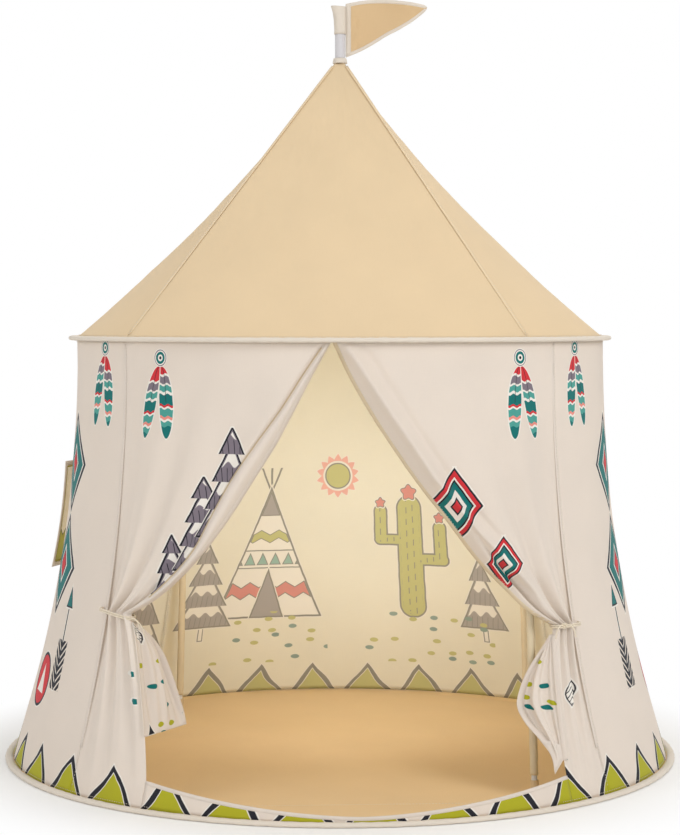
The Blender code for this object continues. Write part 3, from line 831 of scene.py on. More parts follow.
def print_token(pattern, azimuth, height, radius=0.046):
    """A disc with a small tent on it."""
    x, y = pattern.spot(azimuth, height)
    pattern.stamp(in_disc(x, y, radius), coral, line=0.005)
    pattern.stamp(in_triangle(x, y + radius * 0.42, radius * 0.42, radius * 0.9), print_white, line=0.0)


def print_leaf(pattern, azimuth, height, tall=0.046, lean=0.3):
    """A small white leaf with dark veins."""
    x, y = pattern.spot(azimuth, height)
    x = x - y * lean
    leaf = ((y * (1 / tall)).math("MULTIPLY", 1.0, clamp=True) * math.pi).wave() * (tall * 0.27) - abs(x)
    leaf = leaf.least(y).least(y.below(tall))
    pattern.stamp(leaf, print_white, line=0.0017)
    vein = abs(repeat(y + abs(x) * 1.3, 0.010)).below(0.0012).least(leaf)
    pattern.paint(charcoal, vein.cover())


print("arrow, token and leaf ready")

# %% [markdown]
# ## The tent's shape, as numbers
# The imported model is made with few, flat facets. A sewn tent is round, so every cloth here follows the same
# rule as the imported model, without the facets: the wall hangs straight under the eaves and flares out to its
# hem, and the roof is square in plan at the peak and round at the eaves. Soft wrinkles come from a noise that
# fades out where a hoop or a seam holds the cloth.

# %% Sizes of the wall and roof
eaves_height = 0.7455
peak_height = 1.2345
wall_top_height = 0.7452
roof_foot_height = 0.746
wall_top_radius = 0.469
wall_hem_radius = 0.587
wall_radius_share = 0.9992
flare_power = 2.1
neck_radius = 0.012
roof_round_power = 0.8
cloth_thickness = 0.001
seam_half_gap = 0.012
left_seam = -49.0
right_seam = 48.5
back_left_seam = -139.0
back_right_seam = 131.0
full_turn = 360.0
wall_ripple = 0.0022
print("wall", wall_top_radius, "to", wall_hem_radius, "m in radius, roof peak at", peak_height, "m")


# %% Points on the wall
def between(start, end, share):
    return start + (end - start) * share


def hold(value):
    """The value itself between 0 and 1, and the nearer of the two outside them."""
    return min(1.0, max(0.0, value))


def hump(offset, width):
    """A smooth hump of height 1 over offset 0."""
    return math.exp(-((offset / width) ** 2))


def polar(azimuth, radius, height):
    angle = math.radians(azimuth)
    return Vector((radius * math.sin(angle), -radius * math.cos(angle), height))


def azimuth_of(point):
    return math.degrees(math.atan2(point.x, -point.y))


def wall_radius(height):
    fall_share = max(0.0, 1 - height / eaves_height)
    return wall_top_radius + (wall_hem_radius - wall_top_radius) * fall_share**flare_power


def ripple(azimuth, height):
    """Soft wrinkles, longer up and down than round, and none at the two hoops."""
    held = hold((height - hem_height) / 0.07) * hold((wall_top_height - height) / 0.05)
    broad = noise.noise(polar(azimuth, 3.4, height * 2.2))
    fine = noise.noise(polar(azimuth, 11.0, height * 6.0 + 5.0))
    return wall_ripple * held * (broad + fine * 0.35)


def wall_point(azimuth, height, standoff=0.0):
    """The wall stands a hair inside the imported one, so that its wrinkles stay within the size."""
    radius = wall_radius(height) * wall_radius_share + standoff + ripple(azimuth, height)
    return polar(azimuth, radius, height)


def wall_place(azimuth, height):
    return map_across(azimuth), height


def stops(*marks, pitch):
    """Even steps between marks, none of them longer than pitch."""
    values = [marks[0]]
    for start, end in zip(marks, marks[1:]):
        count = max(1, math.ceil(abs(end - start) / pitch))
        values += [between(start, end, (index + 1) / count) for index in range(count)]
    return values


print("wall and steps ready")

# %% [markdown]
# ## How cloth pieces are made
# A panel is a fine grid laid on a surface, given a millimetre of thickness by Solidify, with one material for
# its outer face and one for its inner face. A hem, a binding, a cord or a sleeve is a loft: rings of points
# joined by faces. Every piece then becomes a plain mesh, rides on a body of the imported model, and says which
# nodes it stands for.

# %% Sheets
facing_map = "facing"


def add_piece(name, mesh):
    made = bpy.data.objects.new(name, mesh)
    bpy.context.scene.collection.objects.link(made)
    return made


def plain(made):
    """Takes the evaluated mesh as the object's own, and drops the modifiers that made it."""
    view = bpy.context.evaluated_depsgraph_get()
    finished = made.evaluated_get(view)
    mesh = bpy.data.meshes.new_from_object(finished, preserve_all_data_layers=True, depsgraph=view)
    made.modifiers.clear()
    made.data = mesh
    mesh.name = made.name
    return made


def cloth_sheet(name, across_stops, up_stops, surface, outer, inner, hole=None):
    """A grid on a surface, thickened to both sides. The surface gives each point, its place on the cloth and,
    where part of the cloth is a folded facing, how far the point lies inside that."""
    corners = [surface(across, up) for up in up_stops for across in across_stops]
    columns = len(across_stops)
    faces = []
    for row, (low, high) in enumerate(zip(up_stops, up_stops[1:])):
        for column, (left, right) in enumerate(zip(across_stops, across_stops[1:])):
            if not (hole and hole(between(left, right, 0.5), between(low, high, 0.5))):
                first = row * columns + column
                faces.append((first, first + 1, first + columns + 1, first + columns))
    mesh = bpy.data.meshes.new(name)
    mesh.from_pydata([corner[0] for corner in corners], [], faces)
    places = mesh.uv_layers.new(name=cloth_map)
    for loop in mesh.loops:
        places.data[loop.index].uv = corners[loop.vertex_index][1]
    if len(corners[0]) > 2:
        facing = mesh.attributes.new(facing_map, "FLOAT", "POINT")
        facing.data.foreach_set("value", [corner[2] for corner in corners])
    grid = bmesh.new()
    grid.from_mesh(mesh)
    loose = [vertex for vertex in grid.verts if not vertex.link_faces]
    bmesh.ops.delete(grid, geom=loose, context="VERTS")
    grid.to_mesh(mesh)
    grid.free()
    mesh.shade_smooth()
    mesh.materials.append(outer)
    mesh.materials.append(inner)
    made = add_piece(name, mesh)
    thicken = made.modifiers.new("Cloth", "SOLIDIFY")
    thicken.thickness = cloth_thickness
    thicken.offset = 0.0
    thicken.use_even_offset = True
    thicken.material_offset = 1
    return plain(made)


print("cloth is", cloth_thickness, "m thick")


# %% Finishing a piece
def cloth_area(made):
    """The area of one side of a sheet."""
    return round(sum(face.area for face in made.data.polygons) / 2, 3)


def settle(made, body, slot, *nodes):
    """Says what carries a finished piece, what finish it has and which nodes it stands for."""
    if body:
        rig.ride(made, body)
    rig.slot(made, slot)
    if nodes:
        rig.replaces(made, *nodes)
    print(made.name, len(made.data.polygons), "faces")
    return made


print("finishing ready")


# %% Lofts
def circle(count):
    """Even angles round a circle."""
    return [2 * math.pi * index / count for index in range(count)]


def run_of(points, closed=False):
    """How far along its line each point lies, and for a closed line the whole way round too."""
    lengths = [0.0]
    for point, after in zip(points, points[1:] + (points[:1] if closed else [])):
        lengths.append(lengths[-1] + (after - point).length)
    return lengths


def loft(name, rings, material, closed=False):
    """A closed skin over rings of points. A line of rings that isn't closed gets two end caps."""
    count, corners = len(rings), len(rings[0])
    lengths = run_of([ring[0] for ring in rings], closed)
    girths = run_of(rings[count // 2], True)
    faces, places = [], []
    for index in range(count if closed else count - 1):
        after = (index + 1) % count
        for corner in range(corners):
            beside = (corner + 1) % corners
            first, second = index * corners, after * corners
            faces.append((first + corner, first + beside, second + beside, second + corner))
            low, high = lengths[index], lengths[index + 1]
            near, far = girths[corner], girths[corner + 1]
            places += [(low, near), (low, far), (high, far), (high, near)]
    if not closed:
        for start in (0, (count - 1) * corners):
            faces.append(tuple(range(start, start + corners)))
            places += [(0.0, girth) for girth in girths[:-1]]
    mesh = bpy.data.meshes.new(name)
    mesh.from_pydata([point for ring in rings for point in ring], [], faces)
    layer = mesh.uv_layers.new(name=cloth_map)
    for item, place in zip(layer.data, places):
        item.uv = place
    skin = bmesh.new()
    skin.from_mesh(mesh)
    bmesh.ops.recalc_face_normals(skin, faces=skin.faces)
    skin.to_mesh(mesh)
    skin.free()
    mesh.shade_smooth()
    mesh.materials.append(material)
    return add_piece(name, mesh)


print("lofts ready")


# %% Sweeps and tubes
def neighbours(points, index, closed):
    count = len(points)
    if closed:
        return points[index - 1], points[(index + 1) % count]
    return points[max(0, index - 1)], points[min(count - 1, index + 1)]


def sweep(name, path, section, material, closed=False):
    """Carries a section along a path. section(share) gives its (sideways, upward) points there. Each ring
    turns only as much as the path does, so the cord doesn't twist by itself."""
    side = None
    rings = []
    for index, point in enumerate(path):
        before, after = neighbours(path, index, closed)
        way = (after - before).normalized()
        if side is None:
            side = way.orthogonal()
        side = (side - way * side.dot(way)).normalized()
        up = way.cross(side)
        share = index / (len(path) - 1)
        rings.append([point + side * across + up * rise for across, rise in section(share)])
    return loft(name, rings, material, closed)


def double_wall(name, heights, corner_count, spot, material):
    """A cloth tube with both its faces: up the outside and back down the inside. spot(height, angle, outside)
    gives each point."""
    rings = [[spot(height, angle, True) for angle in circle(corner_count)] for height in heights]
    rings += [[spot(height, angle, False) for angle in circle(corner_count)] for height in reversed(heights)]
    return loft(name, rings, material, closed=True)


print("sweeps and tubes ready")

# %% Tapes
hem_thickness = 0.0021
flat_hem_thickness = 0.0019
half_tape_section = [(0.0, 0.0), (0.06, 0.8), (0.5, 1.0), (0.94, 0.8)]
tape_section = half_tape_section + [(1 - share, -lift) for share, lift in half_tape_section]


def sew_tape(name, body, rails, thickness, material, slot="binding_cloth", closed=False):
    """A flat ribbon between two rails of points. It is a little thicker in the middle than at its edges."""
    rings = []
    for index, (point, other) in enumerate(zip(*rails)):
        before, after = neighbours(rails[0], index, closed)
        up = (other - point).cross(after - before).normalized() * thickness / 2
        rings.append([point + (other - point) * share + up * lift for share, lift in tape_section])
    return settle(loft(name, rings, material, closed), body, slot)


print("tapes", hem_thickness, "m thick")

# %% Smooth lines
smooth_lines = {}


def smooth_path(points, count):
    """A Catmull-Rom line through points, cut into count even steps of its parameter."""
    ends = [points[0] * 2 - points[1], *points, points[-1] * 2 - points[-2]]
    line = []
    for index in range(count + 1):
        place = index / count * (len(points) - 1)
        first = min(int(place), len(points) - 2)
        t = place - first
        a, b, c, d = ends[first : first + 4]
        cubic = (b * 3 - a - c * 3 + d) * t**3
        line.append(((b * 2) + (c - a) * t + (a * 2 - b * 5 + c * 4 - d) * t**2 + cubic) / 2)
    return line


def smooth_share(values, share):
    """A smooth value between the listed ones. Each list's line is made once and kept."""
    key = tuple(values)
    if key not in smooth_lines:
        stations = [Vector((index, value, 0.0)) for index, value in enumerate(values)]
        smooth_lines[key] = smooth_path(stations, 8 * (len(values) - 1))
    line = smooth_lines[key]
    place = hold(share) * (len(line) - 1)
    near = min(int(place), len(line) - 2)
    return between(line[near].y, line[near + 1].y, place - near)


print("smooth lines ready")

# %% [markdown]
# ## Stitches
# A seam is what makes cloth look sewn. Each stitch is a tiny pod of thread, and a row of them follows a line.
# Geometry Nodes resample the line at the stitch pitch, put one pod on each point and turn it along the line.
# Modelling each stitch by hand would be the same shape a few thousand times over.


# %% The stitch tree
def build_stitch_tree():
    tree = bpy.data.node_groups.new("stitches", "GeometryNodeTree")
    face = tree.interface
    face.new_socket("Lines", in_out="INPUT", socket_type="NodeSocketGeometry")
    for title in ("Pitch", "Length", "Thickness"):
        face.new_socket(title, in_out="INPUT", socket_type="NodeSocketFloat")
    face.new_socket("Thread", in_out="INPUT", socket_type="NodeSocketMaterial")
    face.new_socket("Stitches", in_out="OUTPUT", socket_type="NodeSocketGeometry")
    given = add_node(tree, "NodeGroupInput").outputs
    curve = add_node(tree, "GeometryNodeMeshToCurve", {"Mesh": given["Lines"]})
    spots = add_node(tree, "GeometryNodeResampleCurve", mode="LENGTH")
    give(tree, spots, {"Curve": curve, "Length": given["Pitch"]})
    pod = add_node(tree, "GeometryNodeMeshIcoSphere", {"Radius": 0.5})
    way = add_node(tree, "GeometryNodeInputTangent")
    turn = add_node(tree, "FunctionNodeAlignRotationToVector", {"Vector": way}, axis="X")
    size = join_parts(tree, given["Length"], given["Thickness"], given["Thickness"])
    placed = {"Points": spots, "Instance": pod, "Rotation": turn, "Scale": size}
    row = add_node(tree, "GeometryNodeInstanceOnPoints", placed)
    real = add_node(tree, "GeometryNodeRealizeInstances", {"Geometry": row})
    sewn = add_node(tree, "GeometryNodeSetMaterial", {"Geometry": real, "Material": given["Thread"]})
    add_node(tree, "NodeGroupOutput", {"Stitches": sewn})
    return tree


stitch_tree = build_stitch_tree()


def stitch(name, lines, thread, pitch=0.0052, length=0.0038, thickness=0.0007):
    """One mesh of stitches along several lines of points."""
    points, edges = [], []
    for line in lines:
        edges += [(len(points) + index, len(points) + index + 1) for index in range(len(line) - 1)]
        points += line
    mesh = bpy.data.meshes.new(name)
    mesh.from_pydata(points, edges, [])
    made = add_piece(name, mesh)
    modifier = made.modifiers.new("Stitches", "NODES")
    modifier.node_group = stitch_tree
    values = {"Pitch": pitch, "Length": length, "Thickness": thickness, "Thread": thread}
    for item in stitch_tree.interface.items_tree:
        if item.name in values:
            modifier[item.identifier] = values[item.name]
    made.update_tag()
    plain(made)
    made.data.shade_smooth()
    return made


print("stitches ready")

# %% [markdown]
# ## Which print goes where
# Each panel gets its own material, so that a motif stands once on the panel it belongs to. The inner face
# shows the same print, weaker, because the ink comes through the thin cloth. Its cloth colour is painted
# lighter and warmer than the outer face: painted light for the daylight that comes through the thin cloth.

# %% Colours of the cloth
outer_colour = shown(0.94, 0.895, 0.85)
# The inner colour is lighter and yellower than the outer one: painted light for the warm daylight through the cloth.
inner_colour_painted_daylight = shown(0.958, 0.942, 0.87)
roof_colour = shown(0.925, 0.83, 0.68)
binding_colour = shown(0.94, 0.90, 0.845)
mat_colour = shown(0.92, 0.79, 0.59)
flag_colour = shown(0.87, 0.75, 0.58)
inner_print_share = 0.6
curtain_dots = [(-39.0, 0.207), (-37.4, 0.165)]
curtain_dot_radius = 0.0052
print(len(curtain_dots), "dots on the left curtain")


# %% Prints of the walls
def print_border(pattern):
    print_hem_triangles(pattern)
    print_pendants(pattern)


def print_left_wall(pattern):
    print_border(pattern)
    print_diamonds(pattern, -75.0, 0.265, 2, 0.085, 0.088, side_rings)
    print_token(pattern, -73.0, 0.155)
    print_arrow(pattern, -64.2, 0.150, 0.138)
    print_pine(pattern, -130.0, 0.11, 0.24)
    print_dots(pattern, 0.09, 0.22, [(-92.0, 0.06)])


def print_back_wall(pattern):
    print_border(pattern)
    print_tipi(pattern, 196.5, 0.165)
    print_cactus(pattern, 163.5, 0.165)
    print_sun(pattern, 180.5, 0.46)
    print_pine(pattern, 147.0, 0.15, 0.15, 3)
    print_pine(pattern, 211.5, 0.15, 0.18)
    print_dots(pattern, 0.068, 0.178, [(197.0, 0.125), (160.0, 0.13)])


def print_right_wall(pattern):
    print_border(pattern)
    print_diamonds(pattern, 76.0, 0.265, 2, 0.085, 0.088, side_rings)
    print_token(pattern, 86.0, 0.155)
    print_arrow(pattern, 67.5, 0.150, 0.138)
    print_pine(pattern, 96.0, 0.11, 0.22)
    print_cactus(pattern, 112.0, 0.11, 0.85)
    print_dots(pattern, 0.09, 0.22, [(88.0, 0.03)])


print("wall prints ready")


# %% Prints of the door and the window
def print_left_curtain(pattern):
    """The pines stop at the facing, whose plain side is folded outward. The two dots are drawn wide, because
    the folds below them press the cloth together."""
    print_border(pattern)
    bare = pattern.colour
    print_pine(pattern, -33.5, 0.335, 0.10, 3)
    print_pine(pattern, -27.2, 0.375, 0.155)
    print_pine(pattern, -21.4, 0.43, 0.178)
    for azimuth, height in curtain_dots:
        x, y = pattern.spot(azimuth, height)
        pattern.stamp(in_disc(x * 0.5, y * 1.15, curtain_dot_radius), teal, line=0.0)
    facing = add_node(pattern.tree, "ShaderNodeAttribute", attribute_name=facing_map)
    pattern.paint(bare, Field(pattern.tree, facing.outputs["Fac"]).cover())


def print_right_curtain(pattern):
    print_border(pattern)
    print_diamonds(pattern, 22.6, 0.418, 1, 0.050, 0.062, diamond_rings)
    print_diamonds(pattern, 32.4, 0.338, 1, 0.036, 0.046, diamond_rings)
    print_leaf(pattern, 43.6, 0.15)


def print_flap(pattern):
    """A zigzag band across the foot of the window flap."""
    print_border(pattern)
    x, y = pattern.spot(-106.0, 0.352)
    zigzag = abs(repeat(x, 0.05)) * 0.9
    pattern.stamp(in_box(x, y - zigzag, 0.3, 0.030), olive)


def print_tail(pattern):
    """A tail's cloth map starts at its free edge: the left tail lies at negative azimuths of it."""
    print_hem_triangles(pattern)
    print_dots(pattern, 0.085, 0.26, [(-5.0, 0.040), (5.0, 0.034)])
    for azimuth in (-5.2, 5.2):
        print_leaf(pattern, azimuth, 0.285)
    pattern.stamp(in_triangle(*pattern.spot(-10.4, 0.128), 0.0085, 0.017), charcoal, line=0.0)


print("door and window prints ready")


# %% Cloth materials
def both_faces(name, printed=None, through_share=0.2):
    """The outer and the inner material of a wall cloth. The inner one is painted lighter and warmer, as painted light
    for the daylight through the cloth.
    """
    return (
        cloth_material(name + "_outer_cloth", outer_colour, printed, 1.0, through_share),
        cloth_material(name + "_inner_cloth", inner_colour_painted_daylight, printed, inner_print_share, through_share),
    )


roof_outer_cloth = cloth_material("roof_outer_cloth", roof_colour, through_share=0.16)
# The roof's inner face takes the same painted daylight colour, not the roof's beige.
roof_inner_cloth = cloth_material("roof_inner_cloth", inner_colour_painted_daylight)
binding_tape = cloth_material("binding_tape", binding_colour, crease=0.6)
hem_tape = cloth_material("hem_tape", outer_colour, crease=0.6)
# A tan hem tape whose tan is painted light: the warm light from inside the tent seen through the doubled hem.
tan_tape = cloth_material("tan_tape", shown(0.92, 0.855, 0.73), crease=0.6)
# A darker tan tape that is painted shade, laid into the crease beside the left curtain's folded facing.
crease_tape = cloth_material("crease_tape", shown(0.87, 0.79, 0.655), crease=0.6)
olive_tape = cloth_material("olive_tape", shown(0.74, 0.70, 0.33), crease=0.6)
mat_cloth = cloth_material("mat_cloth", mat_colour, through_share=0.05, crease=0.6)
flag_beige_cloth = cloth_material("flag_beige_cloth", flag_colour, through_share=0.12)
print(len(bpy.data.materials), "materials so far")


# %% Threads
def thread_material(name, colour):
    material, tree, shader = new_material(name)
    place = add_node(tree, "ShaderNodeTexCoord").outputs["Object"]
    fibre = Field(tree, add_node(tree, "ShaderNodeTexNoise", {"Scale": 900.0, "Vector": place}).outputs[0])
    give(tree, shader, {"Roughness": 0.7, "Sheen Weight": 0.2})
    give(tree, shader, {"Base Color": mix_colour(tree, fibre, tinted(colour, 0.8), colour)})
    give(tree, shader, {"Normal": bump(tree, fibre, 0.0002, 0.6)})
    return material


cream_thread = thread_material("cream_thread", shown(0.93, 0.885, 0.82))
tie_thread = thread_material("tie_thread", shown(0.92, 0.865, 0.77))
print("threads ready")

# %% [markdown]
# ## Wall panels and the window
# Three panels close the tent's sides and back, and each is cut as a flared trapezium and sewn to the next.
# The left one has a window: a rectangle left out of the grid, with an olive tape folded round its raw edge,
# and a flap outside it that hangs on one sewn edge.

# %% Walls
window_azimuth = -106.0
window_half_width = 0.075
window_half_height = 0.075
window_middle_height = 0.420
window_radius = wall_radius(window_middle_height)
window_half_turn = math.degrees(window_half_width / window_radius)
panel_pitch = 0.95
row_pitch = 0.0085
wall_slant = 0.757


def in_window(azimuth, height):
    beside = abs(azimuth - window_azimuth) < window_half_turn
    return beside and abs(height - window_middle_height) < window_half_height


def on_wall(azimuth, height):
    return wall_point(azimuth, height), wall_place(azimuth, height)


def build_wall(name, printed, azimuths, heights, hole=None):
    outer, inner = both_faces(name, printed)
    wall = cloth_sheet(name + "_cloth", azimuths, heights, on_wall, outer, inner, hole)
    return settle(wall, "tent", "wall_cloth", name)


window_sides = (window_azimuth - window_half_turn, window_azimuth + window_half_turn)
window_rows = (window_middle_height - window_half_height, window_middle_height + window_half_height)
side_azimuths = stops(
    back_left_seam + seam_half_gap, *window_sides, left_seam - seam_half_gap, pitch=panel_pitch
)
back_azimuths = stops(
    back_right_seam + seam_half_gap, back_left_seam + full_turn - seam_half_gap, pitch=panel_pitch
)
right_azimuths = stops(right_seam + seam_half_gap, back_right_seam - seam_half_gap, pitch=panel_pitch)
side_heights = stops(hem_height, *window_rows, wall_top_height, pitch=row_pitch)
wall_heights = stops(hem_height, wall_top_height, pitch=row_pitch)
left_wall = build_wall("left_wall", print_left_wall, side_azimuths, side_heights, in_window)
back_wall = build_wall("back_wall", print_back_wall, back_azimuths, wall_heights)
right_wall = build_wall("right_wall", print_right_wall, right_azimuths, wall_heights)

# %% Shape of the window and its flap
flap_overlap = 0.022
flap_standoff = 0.0018
flap_lift = 0.0025
flap_ajar = 5.5
flap_curl = 0.0022
flap_pitch = 0.006
flap_hem_edges = (0.0004, -0.008)
olive_line_edges = (-0.0085, -0.0115)
olive_line_thickness = 0.0016
window_tape_edges = (-0.0006, 0.008)
flap_reach = window_half_width + flap_overlap
flap_rise = window_half_height + flap_overlap
hinge_foot = Vector((-0.4496, 0.2325, 0.3230))
hinge_head = Vector((-0.4266, 0.2206, 0.5170))
flap_swing = Matrix.Rotation(math.radians(-flap_ajar), 3, hinge_head - hinge_foot)


def rectangle_rail(place, half_width, half_height, step_count=16):
    """Points round a rectangle, as place(sideways, upward) gives them."""
    corners = [(-half_width, -half_height), (half_width, -half_height), (half_width, half_height)]
    corners.append((-half_width, half_height))
    rail = []
    for start, end in zip(corners, corners[1:] + corners[:1]):
        for index in range(step_count):
            share = index / step_count
            rail.append(place(between(start[0], end[0], share), between(start[1], end[1], share)))
    return rail


def azimuth_beside(sideways):
    return window_azimuth + math.degrees(sideways / window_radius)


def beside_window(sideways, upward):
    return wall_point(azimuth_beside(sideways), window_middle_height + upward)


def flap_point(sideways, upward):
    """The flap lies a little off the wall, hangs ajar and curls out at its loose corners."""
    across = hold((sideways + flap_reach) / (2 * flap_reach))
    curl = flap_curl * across**3 * (upward / flap_rise) ** 2
    lift = flap_lift * min(1.0, across * 6)
    height = window_middle_height + upward
    flat = polar(azimuth_beside(sideways), wall_radius(height) + flap_standoff + lift + curl, height)
    return hinge_foot + flap_swing @ (flat - hinge_foot)


def on_flap(sideways, upward):
    return flap_point(sideways, upward), wall_place(azimuth_beside(sideways), window_middle_height + upward)


def window_rail(grow):
    return rectangle_rail(beside_window, window_half_width + grow, window_half_height + grow)


def flap_rail(grow):
    return rectangle_rail(flap_point, flap_reach + grow, flap_rise + grow)


print("flap", 2 * flap_reach, "m wide")


# %% Window tape and flap
def build_flap():
    outer, inner = both_faces("window_flap", print_flap, 0.5)
    across_stops = stops(-flap_reach, flap_reach, pitch=flap_pitch)
    up_stops = stops(-flap_rise, flap_rise, pitch=flap_pitch)
    flap = cloth_sheet("window_flap_cloth", across_stops, up_stops, on_flap, outer, inner)
    settle(flap, "window_flap", "wall_cloth", "window_flap")
    rails = [flap_rail(grow) for grow in flap_hem_edges]
    hem = sew_tape("window_flap_hem", "window_flap", rails, hem_thickness, binding_tape, closed=True)
    rails = [flap_rail(grow) for grow in olive_line_edges]
    sew_tape("window_flap_line", "window_flap", rails, olive_line_thickness, olive_tape, closed=True)
    cut = (2 * flap_reach, 2 * flap_rise)
    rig.sheet(flap, flat=cut, held="hung", rests_on=["left_wall"], with_pieces=[hem])


frame_rails = [window_rail(grow) for grow in window_tape_edges]
sew_tape("window_tape", "tent", frame_rails, flat_hem_thickness, olive_tape, closed=True)
build_flap()

# %% What the walls are cut from
wall_cuts = [(left_wall, 0.925, ["window_tape"]), (back_wall, 0.925, []), (right_wall, 0.850, [])]
for wall, cut_width, with_pieces in wall_cuts:
    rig.sheet(
        wall,
        flat=(cut_width, wall_slant),
        held="hung",
        area=cloth_area(wall),
        rests_on=["eaves_hoop"],
        with_pieces=with_pieces,
    )
    print(wall.name, "one side", cloth_area(wall), "m2")

# %% [markdown]
# ## Door curtains
# The front cloth is slit from the eaves to the sill. Each half is pulled aside and tied to its seam, so its
# free edge hangs straight at first and then sweeps outward to the tie. The folds run down from the eaves and
# draw together at the tie. Below it the cloth is sewn to the wall as the door's fixed side, and the loose
# corner hangs inward as a tail. A simulation could drape this, but the door's outline in the photograph is
# known, so a rule for the free edge with folds laid over it comes closer.

# %% Measures of the door
door_sides = {
    "left": {
        "sign": -1,
        "seam": left_seam,
        "corner": -30.5,
        "bunch": -41.5,
        "tie_height": 0.300,
        "straight_share": 0.78,
        "roll_widths": [0.008, 0.015, 0.022, 0.033, 0.037, 0.032, 0.018, 0.014, 0.008],
        "roll_steep": 0.50,
        "edge_shifts": [0.0, 0.1, 0.5, 0.8, 0.5, 0.2, -0.3, -0.5, 0.0],
        "tie_point": Vector((-0.3373, -0.3812, 0.300)),
        "corner_point": Vector((-0.2897, -0.4917, 0.047)),
        "tail_width": 0.108,
        "tail_heading": 66.0,
        "tail_end": 0.74,
        "tail_shares": [0.17, 0.50, 0.68, 0.76, 0.82, 0.87, 0.92, 0.97, 0.99],
        "tie_drop": 0.009,
        "hem_drop": -0.034,
    },
    "right": {
        "sign": 1,
        "seam": right_seam,
        "corner": 37.5,
        "bunch": 42.5,
        "tie_height": 0.280,
        "straight_share": 0.70,
        "roll_widths": [0.018, 0.029, 0.034, 0.037, 0.036, 0.043, 0.056, 0.054, 0.012],
        "roll_steep": 0.80,
        "edge_shifts": [0.0, -0.5, -0.3, 0.4, 1.5, 2.9, 3.3, 3.2, 0.0],
        "tie_point": Vector((0.3460, -0.3776, 0.280)),
        "corner_point": Vector((0.3474, -0.4528, 0.047)),
        "tail_width": 0.072,
        "tail_heading": 22.0,
        "tail_end": 0.90,
        "tail_shares": [0.06, 0.345, 0.61, 0.79, 0.87, 0.69, 0.37, 0.10, 0.03],
        "tie_drop": 0.0,
        "hem_drop": 0.020,
    },
}
slit_azimuth = -1.6
sweep_power = 9.0
sill_corner_height = 0.047
tie_waist = 0.45
tie_waist_reach = 0.02
corner_pull = 2.1
print("ties at", [side["tie_height"] for side in door_sides.values()], "m")


# %% Shape of a curtain
def curtain_edge(side, height):
    """The azimuth and radius of the curtain's free edge."""
    waist = tie_waist * hump(height - side["tie_height"], tie_waist_reach)
    if height >= side["tie_height"]:
        fall_share = (wall_top_height - height) / (wall_top_height - side["tie_height"])
        straight = side["straight_share"]
        sweep_share = straight * fall_share + (1 - straight) * fall_share**sweep_power
        azimuth = between(slit_azimuth, side["bunch"], sweep_share) + side["sign"] * waist
        return azimuth + smooth_share(side["edge_shifts"], fall_share), wall_radius(height)
    if height >= sill_corner_height:
        share = (side["tie_height"] - height) / (side["tie_height"] - sill_corner_height)
        point = between(side["tie_point"], side["corner_point"], share)
        pulled = waist + corner_pull * share**2
        return azimuth_of(point) + side["sign"] * pulled, math.hypot(point.x, point.y)
    return side["corner"] + side["sign"] * corner_pull, wall_radius(height)


def curtain_width(side, height):
    """From the seam to the free edge, along the wall."""
    edge_azimuth, _ = curtain_edge(side, height)
    return math.radians(abs(edge_azimuth - side["seam"])) * wall_radius(height)


def gather_of(side, height):
    """0 at the eaves, 1 at the tie."""
    return 1 - (height - side["tie_height"]) / (wall_top_height - side["tie_height"])


def facing_width(side, height):
    """How wide the cloth is that turns over beside the free edge."""
    return smooth_share(side["roll_widths"], gather_of(side, height))


print("slit at azimuth", curtain_edge(door_sides["left"], wall_top_height)[0])

# %% Folds
fold_depth, fold_turn = 0.007, 6 * math.pi
fine_fold_depth, fine_fold_turn = 0.0030, 10.4 * math.pi
pucker_depth, pucker_turn = 0.0017, 17 * math.pi
pucker_reach = 0.085
curtain_crease_share = 1.4
hem_bulge = 0.0065
hem_crease, hem_crease_width = 0.0072, 0.0042
lapel_ridge, lapel_groove, lapel_groove_offset, lapel_wave_width = 0.009, 0.0045, 0.024, 0.010


def roll_offset(side, gather, from_edge):
    """How far the cloth beside the free edge curls in: the left as a bulging hem, the right as a lapel."""
    width, steep = smooth_share(side["roll_widths"], gather), side["roll_steep"]
    held = hold(gather / 0.05) * hold((1 - gather) / 0.15)
    lapel = max(0.0, 1 - from_edge / width)
    if side["sign"] < 0:
        crease = hem_crease * hump(from_edge - width, hem_crease_width)
        return held * (steep * width * lapel**2 + crease - hem_bulge * math.sin(math.pi * lapel))
    ridge = lapel_ridge * hump(from_edge - width, lapel_wave_width)
    groove = lapel_groove * hump(from_edge - width - lapel_groove_offset, lapel_wave_width)
    return held * (steep * width * lapel**1.1 - ridge + groove)


def curtain_point(side, from_seam, height, standoff=0.0):
    """A point of the curtain, from_seam going from 0 at the sewn seam to 1 at the free edge."""
    edge_azimuth, edge_radius = curtain_edge(side, height)
    seam_azimuth = side["seam"] - side["sign"] * seam_half_gap
    azimuth = between(seam_azimuth, edge_azimuth, from_seam)
    above_tie = height >= side["tie_height"]
    if above_tie:
        gather = gather_of(side, height)
        radius = wall_radius(height)
    else:
        gather = (height - hem_height) / (side["tie_height"] - hem_height)
        radius = between(wall_radius(height), edge_radius, from_seam)
    near_tie = math.exp(-abs(height - side["tie_height"]) / pucker_reach)
    fold = fold_depth * gather * math.sin(fold_turn * from_seam)
    fold += fine_fold_depth * gather**2 * math.sin(fine_fold_turn * from_seam + 0.8)
    fold += pucker_depth * near_tie * math.sin(pucker_turn * from_seam + 2.0 + gather)
    width = math.radians(abs(edge_azimuth - seam_azimuth)) * radius
    roll = roll_offset(side, gather, (1 - from_seam) * width) if above_tie else 0.0
    crease = ripple(azimuth, height) * curtain_crease_share
    spot = polar(azimuth, radius * wall_radius_share - fold + crease + standoff, height)
    return spot + Vector((0.0, roll, 0.0))


print("folds up to", fold_depth, "m deep")

